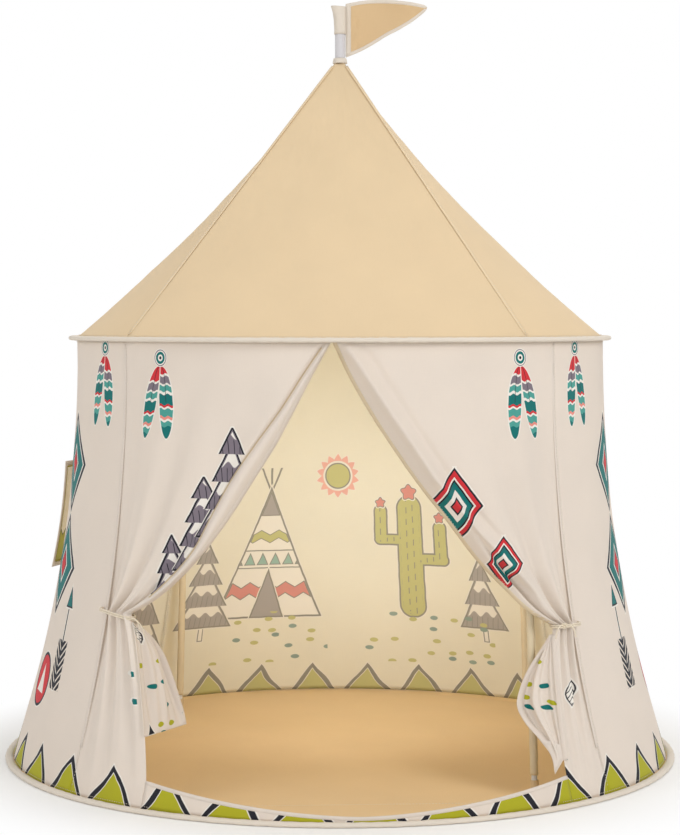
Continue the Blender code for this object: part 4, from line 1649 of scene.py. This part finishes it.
# %% Curtains
curtain_row_pitch = 0.006
curtain_pitch = 0.0125
curtain_fine_share, curtain_fine_pitch = 0.68, 0.0065
curtain_cut = (0.46, wall_slant)
curtain_hem_edges = (-0.0005, 0.0065)
# Edges, standoff and thickness of the darker tape that paints the shade in the left curtain's crease.
crease_shade_edges = (-0.0013, 0.0013)
crease_shade_standoff = 0.0005
crease_shade_thickness = 0.0018
hem_stitch_inset, hem_stitch_standoff = 0.0064, 0.0012


def build_curtain(name, side):
    is_left = side["sign"] < 0

    def on_curtain(across, height):
        from_seam = across if is_left else 1 - across
        edge_azimuth, _ = curtain_edge(side, height)
        azimuth = between(side["seam"], edge_azimuth, from_seam)
        facing = facing_width(side, height) - (1 - from_seam) * curtain_width(side, height)
        return curtain_point(side, from_seam, height), wall_place(azimuth, height), facing

    def rail(heights, inset, standoff=0.0, past_facing=False):
        """A line inset from the free edge, or from the inner side of its facing."""
        points = []
        for height in heights:
            from_edge = (facing_width(side, height) if past_facing else 0.0) + inset
            points.append(curtain_point(side, 1 - from_edge / curtain_width(side, height), height, standoff))
        return points

    printed = print_left_curtain if is_left else print_right_curtain
    outer, inner = both_faces(name + "_curtain", printed)
    row_marks = hem_height, sill_corner_height, side["tie_height"], wall_top_height
    rows = stops(*row_marks, pitch=curtain_row_pitch)
    columns = stops(0.0, curtain_fine_share, pitch=curtain_pitch)[:-1]
    columns += stops(curtain_fine_share, 1.0, pitch=curtain_fine_pitch)
    if not is_left:
        columns = [1 - column for column in reversed(columns)]
    curtain = cloth_sheet(name + "_curtain_cloth", columns, rows, on_curtain, outer, inner)
    settle(curtain, "tent", "wall_cloth", name + "_curtain")
    free_rows = stops(side["tie_height"] + 0.003, wall_top_height, pitch=curtain_row_pitch)
    rails = [rail(free_rows, inset) for inset in curtain_hem_edges]
    # The right curtain's hem takes the tan tape, painted light from inside showing through the doubled hem.
    hem = sew_tape(name + "_curtain_hem", "tent", rails, hem_thickness, hem_tape if is_left else tan_tape)
    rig.sheet(
        curtain,
        flat=curtain_cut,
        held="gathered",
        area=cloth_area(curtain),
        rests_on=["eaves_hoop"],
        with_pieces=[hem],
    )
    # On the left curtain a darker tan tape lies in the crease beside the facing: painted shade for that crease.
    if is_left:
        seam_rows = stops(side["tie_height"] + 0.03, wall_top_height - 0.012, pitch=curtain_row_pitch)
        rails = []
        for inset in crease_shade_edges:
            rails.append(rail(seam_rows, inset, crease_shade_standoff, past_facing=True))
        sew_tape(name + "_curtain_facing_seam", "tent", rails, crease_shade_thickness, crease_tape)
    return rail(free_rows, hem_stitch_inset, hem_stitch_standoff)


cream_lines = [build_curtain(side_name, side) for side_name, side in door_sides.items()]

# %% [markdown]
# ## Loose tails below the ties
# Under each tie the free corner of the curtain hangs inward from the line that runs from the tie to the
# door's lower corner, and sways a little on it. The cloth bends there and does not turn like a door leaf, so
# the piece is blended between the tent and the tail over the first few centimetres.

# %% Tails
tail_tuck = 0.010
tail_inset = 0.0014
tail_start_share = 0.06
tail_edge_gap = 0.0012
tail_wave_depth = 0.006
tail_fine_wave_depth = 0.0022
tail_hem_width = 0.008
tail_cut_height, tail_seen_height = 0.21, 0.2
tail_bend_start, tail_bend_end = 0.002, 0.030


def build_tail(name, side):
    start = side["tie_point"]
    hinge = side["corner_point"] - start
    hinge_way = hinge.normalized()
    heading = math.radians(side["tail_heading"])
    out = Vector((-side["sign"] * math.cos(heading), math.sin(heading), 0.0))
    out = (out - hinge_way * out.dot(hinge_way)).normalized()
    face = hinge_way.cross(out) * side["sign"]
    inward = Vector((-start.x, -start.y, 0.0)).normalized()

    def width_at(down):
        return side["tail_width"] * smooth_share(side["tail_shares"], down)

    def pulled(along_share, amount):
        """The line from the tie to the lower corner, drawn outward with the edge of the curtain."""
        spot = start + hinge * along_share
        turn = side["sign"] * corner_pull * along_share**2 * amount
        return polar(azimuth_of(spot) + turn, math.hypot(spot.x, spot.y), spot.z)

    def tail_point(from_hinge, down):
        """from_hinge is 0 on the line, 1 at the free edge and below 0 where the cloth is tucked behind."""
        along_share = between(tail_start_share, side["tail_end"], down)
        if from_hinge < 0:
            back = -from_hinge * tail_tuck
            return pulled(along_share, 1.0) - out * back * 0.9 + inward * (tail_inset + 0.25 * back)
        width = width_at(down)
        wave = tail_wave_depth * math.sin(3 * math.pi * from_hinge) * math.sin(math.pi * down)
        fine = math.sin(9 * math.pi * from_hinge + 2.4 * down) * math.sin(math.pi * down) ** 0.5
        wave += tail_fine_wave_depth * fine
        reach = tail_edge_gap + (width - tail_edge_gap) * from_hinge
        point = pulled(along_share, 1 - from_hinge) + out * reach + face * wave
        tucked = inward * tail_inset * hold(1 - from_hinge * width / 0.012)
        return point + tucked - Vector((0.0, 0.0, side["hem_drop"] * from_hinge * down))

    def on_tail(across, up):
        from_hinge = across if side["sign"] < 0 else -across
        point = tail_point(from_hinge, 1 - up)
        width = width_at(1 - up)
        from_edge = width - from_hinge * (tail_tuck if from_hinge < 0 else width)
        return point, (from_edge * side["sign"], 0.055 + (point.z - 0.05) * 1.15 - 0.006 * from_hinge)

    outer, inner = both_faces(name + "_tail", print_tail)
    across_stops = stops(-1.0, 0.0, pitch=0.34)[:-1] + stops(0.0, 1.0, pitch=0.025)
    if side["sign"] > 0:
        across_stops = [-stop for stop in reversed(across_stops)]
    up_stops = stops(0.0, 1.0, pitch=0.02)
    tail = cloth_sheet(name + "_curtain_tail_cloth", across_stops, up_stops, on_tail, outer, inner)
    settle(tail, None, "wall_cloth", name + "_curtain_tail")
    free_downs = stops(0.02, 0.98, pitch=0.02)
    edge = [tail_point(1.0, down) + out * 0.0004 for down in free_downs]
    inset = [tail_point(max(0.05, 1 - tail_hem_width / width_at(down)), down) for down in free_downs]
    hem = sew_tape(name + "_curtain_tail_hem", None, (edge, inset), hem_thickness, hem_tape)
    middle = start + hinge * 0.4
    for piece in (tail, hem):
        bend = {"start": middle + out * tail_bend_start, "end": middle + out * tail_bend_end}
        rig.blend(piece, "tent", name + "_tail", **bend)
    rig.sheet(
        tail,
        flat=(round(side["tail_width"] + tail_tuck, 3), tail_cut_height),
        held="hung",
        area=min(cloth_area(tail), round(tail_seen_height * side["tail_width"], 3)),
        rests_on=[name + "_curtain"],
        with_pieces=[hem],
    )
    print(tail.name, "one side", cloth_area(tail), "m2")


for side_name, side in door_sides.items():
    build_tail(side_name, side)

# %% [markdown]
# ## Ties
# A thin twisted cord goes out through the seam, round the bunched cloth and back in, twice. Each turn is a
# section of three strands that twists as it is swept along the path. The left tie has two loose ends, and
# the right one a small knot and two more.

# %% Twisted cord
cord_radius = 0.0014
cord_diameter = 0.0028
tie_depth = 0.0138
tie_slack = 0.0032
strand_pitch = 0.0075
cord_corner_count = 12
tie_step_count = 12
turn_rise = 0.0030


def strands(turn_count, taper=0.0):
    """Three strands side by side, turned along the cord."""

    def section(share):
        ring = []
        for angle in circle(cord_corner_count):
            lobe = abs(math.cos(1.5 * (angle - 2 * math.pi * turn_count * share)))
            radius = cord_radius * (0.80 + 0.24 * lobe) * (1 - taper * share)
            ring.append((radius * math.cos(angle), radius * math.sin(angle)))
        return ring

    return section


def twisted_cord(name, points, taper=0.0):
    steps = max(24, round(run_of(points)[-1] / 0.0008))
    path = smooth_path(points, steps)
    length = run_of(path)[-1]
    return sweep(name, path, strands(length / strand_pitch, taper), tie_thread), path, length


print("cord", cord_diameter, "m thick")


# %% Turns, loose ends and a knot
def tie_points(side, rise=0.0):
    """The path of one turn: a wide half loop round the gathered cloth."""
    height = side["tie_height"] + rise
    radius = wall_radius(height)
    bunch_width = math.radians(abs(side["bunch"] - side["seam"]) - tie_waist) * radius
    reach = bunch_width + tie_slack + cord_radius
    standoff = cloth_thickness / 2 + 0.0003 + cord_radius
    behind_seam = side["seam"] + math.degrees(0.010 / radius) * side["sign"]
    points = [polar(behind_seam, radius + standoff, height)]
    for index in range(tie_step_count + 1):
        angle = math.pi * (0.5 - index / tie_step_count)
        along = math.degrees(reach * math.cos(angle) / radius) * -side["sign"]
        depth = math.copysign(tie_depth * math.sqrt(abs(math.sin(angle))), angle)
        drop = side["tie_drop"] * math.cos(angle)
        points.append(polar(side["seam"] + along, radius + depth, height - drop))
    points.append(polar(behind_seam, radius - standoff, height))
    return points


def loose_end(name, start, way, length, taper):
    """A short end of cord that leaves start along way and bends down under its own weight."""
    down = Vector((0.0, 0.0, -1.0))
    points = [start, start + way * length * 0.35, start + way * length * 0.6 + down * length * 0.25]
    points.append(start + way * length * 0.7 + down * length * 0.62)
    made, path, length = twisted_cord(name, points, taper)
    settle(made, "tent", "binding_cloth")
    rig.cord(
        made,
        exit=path[0],
        length=length,
        diameter=cord_diameter,
        far_end="bare",
        stiffness="limp",
        lay="hanging",
        path=path,
    )


def build_knot(name, place):
    """A trefoil is the middle of an overhand knot."""
    path = []
    for t in circle(72):
        flat = (math.sin(t) + 2 * math.sin(2 * t), math.cos(t) - 2 * math.cos(2 * t))
        path.append(place + Vector((flat[0], -1.1 * math.sin(3 * t), flat[1])) * 0.0014)
    knot = sweep(name, path, strands(6), tie_thread, closed=True)
    return settle(knot, "tent", "binding_cloth")


def build_tie(name, side, with_pieces, rise=0.0, nodes=()):
    """One turn of cord round the gathered cloth. rise sets the second turn above or below the first."""
    made, path, length = twisted_cord(name, tie_points(side, rise))
    settle(made, "tent", "binding_cloth", *nodes)
    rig.cord(
        made,
        exit=path[0],
        length=length,
        diameter=cord_diameter,
        far_end="object",
        stiffness="limp",
        lay="taut",
        path=path,
        with_pieces=with_pieces,
    )
    print(made.name, "length", round(length, 3))


print("turns, loose ends and knot ready")

# %% Ties in place
left_side, right_side = door_sides["left"], door_sides["right"]
left_front = tie_points(left_side)[6]
right_front = tie_points(right_side)[4]
right_knot = build_knot("right_tie_knot", right_front + Vector((0.0, -0.0022, 0.0)))
build_tie("left_tie_cord", left_side, [], nodes=["left_tie"])
build_tie("left_tie_second_turn", left_side, [], rise=turn_rise)
build_tie("right_tie_cord", right_side, [right_knot], nodes=["right_tie"])
build_tie("right_tie_second_turn", right_side, [], rise=-turn_rise)
loose_ends = [
    ("left_tie_end", left_front, (0.95, -0.25, -0.15), 0.040, 0.45),
    ("left_tie_short_end", left_front, (0.80, -0.45, 0.16), 0.031, 0.55),
    ("right_tie_end", right_front, (-0.62, -0.62, 0.0), 0.032, 0.3),
    ("right_tie_short_end", right_front, (0.72, -0.55, 0.1), 0.031, 0.3),
]
for end_name, front, way, length, taper in loose_ends:
    loose_end(end_name, front, Vector(way).normalized(), length, taper)

# %% [markdown]
# ## Sill, floor mat and pipings
# Under the door a low band of the wall stays in place and holds the two corners together. The floor is a disc
# of plain tan cloth that lies nearly flat. A roll of cream cloth holds a springy hoop at the floor, and one
# more at the eaves: its rings are ovals that pucker where the thread pulls.

# %% Sill
sill_middle_azimuth = 3.5
sill_half_turn = 35.5
sill_middle_height = 0.0135
sill_cut = (0.70, 0.041)
sill_hem_edges = (0.0006, -0.0058)


def sill_top(azimuth):
    """Low in the middle of the door, and up to the curtains' corners at its ends."""
    off_share = hold(abs(azimuth - sill_middle_azimuth) / sill_half_turn)
    return between(sill_middle_height, sill_corner_height, off_share**1.5)


def build_sill():
    def on_sill(azimuth, up):
        return on_wall(azimuth, between(hem_height, sill_top(azimuth), up))

    outer, inner = both_faces("door_sill", print_border)
    sill_ends = [side["corner"] + side["sign"] * (corner_pull - 0.05) for side in door_sides.values()]
    azimuths = stops(*sill_ends, pitch=0.7)
    sill = cloth_sheet("door_sill_cloth", azimuths, stops(0.0, 1.0, pitch=0.2), on_sill, outer, inner)
    settle(sill, "tent", "wall_cloth", "door_sill")
    rails = []
    for off in sill_hem_edges:
        rails.append([wall_point(azimuth, sill_top(azimuth) + off) for azimuth in azimuths])
    hem = sew_tape("door_sill_hem", "tent", rails, flat_hem_thickness, hem_tape)
    area = cloth_area(sill)
    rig.sheet(sill, flat=sill_cut, held="hung", area=area, rests_on=["base_hoop"], with_pieces=[hem])


build_sill()

# %% Floor mat
mat_radius = 0.5872
mat_cut = (1.174, 1.174)
mat_edge_rise, mat_rise_start, mat_rise_width = 0.0046, 0.572, 0.013
mat_wave_height = 0.0022
mat_crease_height = 0.0008
mat_stops = stops(-1.0, 1.0, pitch=0.019)


def on_mat(across, along):
    """A square grid pressed into a disc, so that no faces crowd at the middle."""
    x = across * math.sqrt(1 - along**2 / 2) * mat_radius
    y = along * math.sqrt(1 - across**2 / 2) * mat_radius
    edge_share = math.hypot(x, y) / mat_radius
    slack = hold((1 - edge_share) / 0.06)
    broad = noise.noise(Vector((x * 5.0, y * 3.6, 1.7)))
    fine = noise.noise(Vector((x * 17.0 + y * 6.0, y * 11.0, 4.2)))
    height = 0.0008 + slack * (mat_wave_height * max(0.0, broad + 0.15) + mat_crease_height * abs(fine))
    foot = hold((edge_share * mat_radius - mat_rise_start) / mat_rise_width)
    height += mat_edge_rise * foot**2 * (3 - 2 * foot)
    return Vector((x, y, height)), (x, y)


mat = cloth_sheet("floor_mat_cloth", mat_stops, mat_stops, on_mat, mat_cloth, mat_cloth)
settle(mat, "tent", "floor_cloth", "floor_mat")
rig.sheet(mat, flat=mat_cut, held="laid", area=cloth_area(mat), rests_on=["base_hoop"])

# %% Pipings
piping_step_count = 560
piping_corner_count = 14
piping_half_width = 0.0070
piping_half_height = 0.0040
piping_steps_per_pucker = 4.0
piping_pucker = 0.00035
piping_lump, piping_fine_lump = 0.0007, 0.0004
oval_power = 0.85
ferrule_bulge, ferrule_half_turn = 0.0009, 3.2
ferrule_azimuth = back_left_seam + full_turn


def build_piping(name, hoop_radius, height, floor=None):
    """A roll of cloth over a hoop, a little fatter where the ferrule closes it."""
    rings = []
    for index in range(piping_step_count):
        azimuth = full_turn * index / piping_step_count
        spot = polar(azimuth, 1.0, 0.0)
        pucker = piping_pucker * math.sin(index * 2 * math.pi / piping_steps_per_pucker)
        pucker += piping_lump * noise.noise(spot * 17.0) + piping_fine_lump * noise.noise(spot * 60.0)
        ferrule = ferrule_bulge * math.exp(-(((azimuth - ferrule_azimuth) / ferrule_half_turn) ** 4))
        ring = []
        for angle in circle(piping_corner_count):
            along, up = math.cos(angle), math.sin(angle)
            out = math.copysign(abs(along) ** oval_power, along) * (piping_half_width + pucker)
            rise = math.copysign(abs(up) ** oval_power, up) * (piping_half_height + pucker * 0.6 + ferrule)
            point = polar(azimuth, hoop_radius + out - 0.0003, height + rise)
            if floor is not None:
                point.z = max(point.z, floor)
            ring.append(point)
        rings.append(ring)
    piping = loft(name + "_roll", rings, binding_tape, closed=True)
    settle(piping, "tent", "binding_cloth", name)


build_piping("base_piping", 0.593, 0.004, 0.0001)
build_piping("eaves_piping", 0.477, eaves_height)

# %% [markdown]
# ## Pole sleeves
# Each leg stands in a narrow sleeve of wall cloth, which is open at both ends. It is a loft that goes up the
# outside and back down the inside, with small cross wrinkles where it slips down the pole.

# %% Sleeves
leg_foot_radius = 0.4868
leg_top_radius = 0.455
sleeve_outer_radius = 0.0067
sleeve_inner_radius = 0.0053
sleeve_crease = 0.0006
sleeve_cut_width = 0.040
pole_azimuths = {
    "back_left": back_left_seam,
    "front_left": left_seam,
    "front_right": 41.0,
    "back_right": back_right_seam,
}
sleeve_cloth = cloth_material("sleeve_cloth", shown(0.93, 0.87, 0.745), crease=0.5)


def leg_axis(azimuth, height):
    return polar(azimuth, between(leg_foot_radius, leg_top_radius, height / eaves_height), height)


def build_sleeve(name, azimuth):
    low, high = (corner.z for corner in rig.box("pole_sleeve_" + name))
    heights = stops(low + 0.0008, high - 0.0008, pitch=0.0055)

    def spot(height, angle, outside):
        way = Vector((math.cos(angle), math.sin(angle), 0.0))
        crease = noise.noise(Vector((azimuth, height * 70.0, angle * 0.4)) + way)
        crease += 0.6 * noise.noise(Vector((azimuth + 9.0, height * 17.0, 0.0)) + way)
        radius = sleeve_outer_radius + sleeve_crease * crease if outside else sleeve_inner_radius
        return leg_axis(azimuth, height) + way * radius

    sleeve = double_wall("pole_sleeve_cloth_" + name, heights, 16, spot, sleeve_cloth)
    settle(sleeve, "tent", "wall_cloth", "pole_sleeve_" + name)
    cut = (sleeve_cut_width, round(high - low, 3))
    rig.sheet(sleeve, flat=cut, held="stretched", rests_on=["leg_upper_" + name])


for pole_name, pole_azimuth in pole_azimuths.items():
    build_sleeve(pole_name, pole_azimuth)

# %% [markdown]
# ## Roof
# Four panels run from a square neck at the peak to a round eaves ring. The rafters hold the seams out
# straight, and the cloth between them sags a few millimetres. A narrow tape covers each seam.

# %% Roof panels
roof_middles = {"left": -94.0, "front": -4.0, "right": 86.0, "back": 176.0}
roof_half_turn = 45.0
roof_slant = 0.669
roof_cut = (0.737, roof_slant)
roof_radius_share = 0.9993
roof_sag = 0.004
roof_wrinkle, roof_wrinkle_scale = 0.0030, 2.3
roof_fine_wrinkle, roof_fine_wrinkle_scale = 0.0012, 10.3440804
roof_outward, roof_upward = 0.72, 0.69
panel_gap = 0.00025


def roof_reach(fall):
    return between(neck_radius, wall_top_radius, fall)


def roof_point(middle, off, fall, standoff=0.0):
    """off is in degrees from the middle of the panel, and fall goes from 0 at the peak to 1 at the eaves."""
    straight = math.cos(math.radians(roof_half_turn)) / math.cos(math.radians(off))
    shape = between(straight, 1.0, fall**roof_round_power)
    free = math.cos(math.radians(2 * off)) * math.sin(math.pi * fall**0.9)
    spot = polar(middle + off, 0.2 + roof_reach(fall) * 4.0, fall * 1.5)
    wrinkle = roof_wrinkle * noise.noise(spot * roof_wrinkle_scale)
    wrinkle += roof_fine_wrinkle * noise.noise(spot * roof_fine_wrinkle_scale)
    radius = roof_reach(fall) * shape * roof_radius_share - roof_sag * free + wrinkle * hold(free * 2.5)
    height = between(peak_height, roof_foot_height, fall)
    return polar(middle + off, radius + standoff * roof_outward, height + standoff * roof_upward)


def on_roof(middle):
    def place(across, up):
        reach = roof_reach(1 - up)
        off = across * roof_half_turn - across * math.degrees(panel_gap / reach)
        return roof_point(middle, off, 1 - up), (math.radians(off) * reach, up * roof_slant)

    return place


for panel_name, middle in roof_middles.items():
    panel = cloth_sheet(
        "roof_" + panel_name + "_cloth",
        stops(-1.0, 1.0, pitch=0.024),
        stops(0.0, 1.0, pitch=0.0135),
        on_roof(middle),
        roof_outer_cloth,
        roof_inner_cloth,
    )
    settle(panel, "tent", "roof_cloth", "roof_" + panel_name)
    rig.sheet(
        panel,
        flat=roof_cut,
        held="stretched",
        area=cloth_area(panel),
        rests_on=["rafter_front_left"],
    )
    print(panel.name, "one side", cloth_area(panel), "m2")

# %% Roof seams and the collar
roof_tape = cloth_material("roof_tape", roof_colour, through_share=0.05, crease=0.6)
roof_seam_half_width = 0.0036
roof_seam_standoff = 0.0009
collar_profile = [
    (0.0128, 1.2349), (0.0127, 1.2375), (0.0121, 1.2405), (0.0116, 1.2432), (0.0106, 1.2444),
    (0.0088, 1.2445), (0.0074, 1.2441), (0.0073, 1.2400), (0.0074, 1.2358), (0.0100, 1.2353),
]
collar_loose_radius = 0.0105
collar_step_count = 48
collar_steps_per_tuck = 6
roof_seam_thickness = 0.0010
roof_stitch_share = 0.22


def roof_seam_rail(middle, sideways):
    """One long edge of the tape over the seam between two panels."""
    rail = []
    for fall in stops(0.012, 0.985, pitch=0.02):
        half = min(roof_seam_half_width, roof_reach(fall) * 0.2)
        off = roof_half_turn + sideways * math.degrees(half / roof_reach(fall))
        point = roof_point(middle, roof_half_turn, fall, roof_seam_standoff)
        rail.append(polar(middle + off, math.hypot(point.x, point.y), point.z - half * 0.1))
    return rail


def build_roof_seams():
    for panel_name, middle in roof_middles.items():
        rails = [roof_seam_rail(middle, sideways) for sideways in (-1, 1)]
        title = "roof_seam_" + panel_name
        sew_tape(title, "tent", rails, roof_seam_thickness, roof_tape, slot="roof_cloth")
        above = polar(middle + roof_half_turn, 0.0005, 0.0006)
        for rail, other in (rails, reversed(rails)):
            pairs = zip(rail, other)
            cream_lines.append([between(point, beside, roof_stitch_share) + above for point, beside in pairs])


def build_collar():
    """A folded strip wound round the neck, wider at its foot."""
    rings = []
    for index in range(collar_step_count):
        azimuth = full_turn * index / collar_step_count
        tuck = 1 + 0.035 * math.sin(index * 2 * math.pi / collar_steps_per_tuck)
        tuck += 0.04 * noise.noise(polar(azimuth, 3.0, 0.0))
        ring = []
        for radius, height in collar_profile:
            ring.append(polar(azimuth, radius * (tuck if radius > collar_loose_radius else 1.0), height))
        rings.append(ring)
    collar = loft("peak_collar_cloth", rings, binding_tape, closed=True)
    settle(collar, "tent", "binding_cloth", "peak_collar")


build_roof_seams()
build_collar()

# %% [markdown]
# ## Flag
# A grey plastic tube stands on the hub's post. A cloth sleeve is pushed over its top, and a beige pennant
# with cream bound edges is sewn to the sleeve. The blade's outline is given by a few heights along its top
# and bottom edge, and a gentle wave makes it look light.

# %% Flag outline
flag_hoist, flag_tip = 0.0104, 0.1548
flag_cut = (0.152, 0.105)
flag_tops = [1.3402, 1.3452, 1.3478, 1.3474, 1.3452, 1.3420, 1.3378]
flag_feet = [1.2462, 1.2562, 1.2690, 1.2835, 1.2955, 1.3105, 1.3300]


def flag_point(across, up):
    top = smooth_share(flag_tops, across)
    foot = smooth_share(flag_feet, across)
    round_end = math.sqrt(max(0.0, 1 - hold((across - 0.955) / 0.045) ** 2)) * 0.94 + 0.06
    middle = between(foot, top, 0.5)
    height = between(foot, top, up)
    sway = 0.007 * math.sin(2 * math.pi * across) * across + 0.0012 * math.sin(9 * across + 5 * up)
    crease = 0.0016 * hump(across - 0.13, 0.025) * math.sin(up * 14.0)
    x = between(flag_hoist, flag_tip, across)
    return Vector((x, sway + crease, between(middle, height, round_end)))


print("pennant from", flag_hoist, "to", flag_tip, "m")

# %% Sleeve of the flag
flag_sleeve_outer_radius = 0.0104
flag_sleeve_inner_radius = 0.0094
flag_sleeve_gape = 0.0062


def build_flag_sleeve():
    """The sleeve is a cloth tube that gapes a little at its top, away from the blade."""
    low, high = (corner.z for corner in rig.box("flag_sleeve"))

    def spot(height, angle, outside):
        rise = (height - low) / (high - low)
        way = Vector((math.cos(angle), math.sin(angle), 0.0))
        radius = flag_sleeve_outer_radius if outside else flag_sleeve_inner_radius
        radius += flag_sleeve_gape * rise**3 * hold(-way.x) ** 1.5
        if outside:
            radius += 0.0004 * noise.noise(Vector((way.x * 3.0, way.y * 3.0, height * 90.0)))
        return way * radius + Vector((0.0, 0.0, height + 0.0012 * rise * hold(-way.x)))

    sleeve = double_wall("flag_sleeve_cloth", stops(low, high, pitch=0.004), 28, spot, binding_tape)
    settle(sleeve, "flag", "binding_cloth", "flag_sleeve")


build_flag_sleeve()

# %% Pennant
flag_binding_thickness = 0.0022
hoist_binding_thickness = 0.0024
cream_flag_lines = []


def build_flag():
    def on_flag(across, up):
        point = flag_point(across, up)
        return point, (point.x, point.z)

    acrosses = stops(0.0, 0.94, 1.0, pitch=0.012)
    ups = stops(0.0, 1.0, pitch=0.05)
    pennant = cloth_sheet("flag_pennant_cloth", acrosses, ups, on_flag, flag_beige_cloth, flag_beige_cloth)
    settle(pennant, "flag", "flag_cloth", "flag_pennant")
    edges = []
    for title, edge, inset in (("top", 1.0, -0.0062), ("foot", 0.0, 0.0062)):
        rail, other = [], []
        for across in acrosses:
            tall = smooth_share(flag_tops, across) - smooth_share(flag_feet, across)
            rail.append(flag_point(across, edge + (0.0006 if edge else -0.0006) / tall))
            other.append(flag_point(across, hold(edge + inset / max(tall, 0.0125))))
        rails = rail, other
        edges.append(sew_tape("flag_binding_" + title, "flag", rails, flag_binding_thickness, binding_tape))
        off = Vector((0.0, -0.0011, 0.0))
        cream_flag_lines.append([between(point, beside, 0.85) + off for point, beside in zip(*rails)])
    ups = stops(0.01, 0.99, pitch=0.06)
    rails = [[flag_point(across, up) for up in ups] for across in (-0.004, 0.066)]
    edges.append(sew_tape("flag_binding_hoist", "flag", rails, hoist_binding_thickness, binding_tape))
    cream_flag_lines.append([flag_point(0.058, up) + Vector((0.0, -0.0014, 0.0)) for up in ups])
    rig.sheet(
        pennant,
        flat=flag_cut,
        held="hung",
        area=cloth_area(pennant),
        rests_on=["flag_sleeve"],
        with_pieces=edges,
    )
    print(pennant.name, "one side", cloth_area(pennant), "m2")


build_flag()

# %% [markdown]
# ## Sewing it together
# A narrow tape covers each seam between two wall panels, and each row of stitches lies just off the cloth
# that it holds. The rows of one thread on one body become a single mesh.

# %% Seams
hem_azimuths = stops(-180.0, 180.0, pitch=0.8)
panel_seams = [back_left_seam, left_seam, right_seam, back_right_seam]
hem_row = (0.0098, 0.0008)
eaves_rows = [(0.4670, 0.7508), (0.4700, 0.7392)]
seam_row_offsets = [(0.22, 0.0011), (-0.34, -0.0009), (0.34, -0.0009)]
seam_tape_half_turn = 0.36
seam_tape_standoff = 0.0003
seam_tape_thickness = 0.0009
window_stitch_rows = (0.0022, 0.0066)
window_stitch_standoff = 0.0012


def seam_rows():
    low, high = left_side["corner"], right_side["corner"]
    rows = [[wall_point(azimuth, *hem_row) for azimuth in hem_azimuths if not low < azimuth < high]]
    heights = stops(0.02, 0.73, pitch=0.02)
    for azimuth in panel_seams:
        for off, standoff in seam_row_offsets:
            rows.append([wall_point(azimuth + off, height, standoff) for height in heights])
    for radius, height in eaves_rows:
        rows.append([polar(azimuth, radius, height) for azimuth in hem_azimuths])
    above = polar(window_azimuth, window_stitch_standoff, 0.0)
    for grow in window_stitch_rows:
        rail = window_rail(grow)
        rows.append([point + above for point in rail + rail[:1]])
    return rows


def build_seam_tapes():
    heights = stops(0.078, 0.737, pitch=0.012)
    for number, azimuth in enumerate(panel_seams, 1):
        rails = []
        for off in (-seam_tape_half_turn, seam_tape_half_turn):
            rails.append([wall_point(azimuth + off, height, seam_tape_standoff) for height in heights])
        sew_tape("wall_seam_" + str(number), "tent", rails, seam_tape_thickness, hem_tape)


build_seam_tapes()
wall_stitches = stitch("wall_stitches", cream_lines + seam_rows(), cream_thread)
settle(wall_stitches, "tent", "binding_cloth")
flag_stitches = stitch("flag_stitches", cream_flag_lines, cream_thread, pitch=0.0036, length=0.0026)
settle(flag_stitches, "flag", "binding_cloth")

# %% [markdown]
# ## Rods, tubes and plastic
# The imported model's own solids are right for the hard parts. They only need better finishes: powder-coated
# tube with fine scratches, fibreglass rod with lengthwise fibres, bright pressed steel, moulded plastic with
# a faint grain, and rubber with dust in its pores.

# %% Hard finishes
even_grain = (300.0, 300.0, 300.0)


def hard_material(name, colour, roughness, metallic=0.0, grain=even_grain, depth=0.00006, spread=0.08):
    """grain is how fine the noise is along X, Y and Z, depth its bump, spread how much the colour varies."""
    material, tree, shader = new_material(name)
    place = add_node(tree, "ShaderNodeTexCoord").outputs["Object"]
    stretched = add_node(tree, "ShaderNodeMapping", {"Vector": place, "Scale": grain})
    grains = add_node(tree, "ShaderNodeTexNoise", {"Vector": stretched, "Scale": 1.0, "Detail": 4.0})
    wear = add_node(tree, "ShaderNodeTexNoise", {"Vector": place, "Scale": 24.0})
    fine, broad = Field(tree, grains.outputs[0]), Field(tree, wear.outputs[0])
    dark, light = tinted(colour, 1 - spread), tinted(colour, 1 + spread / 2)
    varied = mix_colour(tree, fine * 0.5 + broad * 0.5, dark, light)
    uneven = (fine * 0.3 + broad * 0.7 - 0.5) * 0.22 + roughness
    give(tree, shader, {"Base Color": varied, "Roughness": uneven, "Metallic": metallic})
    give(tree, shader, {"Normal": bump(tree, fine, depth, 0.5)})
    return material


hard_materials = {
    "pole_tube": hard_material("coated_tube", shown(0.86, 0.86, 0.86), 0.38, grain=(260.0, 260.0, 9.0)),
    "hoop_rod": hard_material("fibreglass_rod", shown(0.90, 0.90, 0.86), 0.45, grain=(700.0, 700.0, 60.0)),
    "bright_steel": hard_material("pressed_steel", shown(0.78, 0.78, 0.79), 0.30, 1.0, (900.0, 900.0, 40.0)),
    "connector_plastic": hard_material("moulded_plastic", shown(0.86, 0.85, 0.83), 0.48),
    "foot_rubber": hard_material("soft_rubber", shown(0.85, 0.755, 0.60), 0.78, spread=0.14, depth=0.00012),
    "flag_tube_plastic": hard_material("grey_tube_plastic", shown(0.80, 0.79, 0.80), 0.42, spread=0.05),
}
for row in frame["record"]["subparts"]:
    finish = hard_materials.get(row["material_slot"])
    if finish:
        for place in frame["nodes"][row["node"]].material_slots:
            place.material = finish
print(len(hard_materials), "hard finishes")

# %% [markdown]
# ## Size
# The dressed tent should keep the imported model's size, so both boxes are written down.

# %% Size and finish
visual_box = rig.bounds()
boxes = {"cad": [list(corner) for corner in cad_box], "visual": [list(corner) for corner in visual_box]}
with open("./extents.json", "w") as size_file:
    json.dump(boxes, size_file, indent=1)
print(boxes)
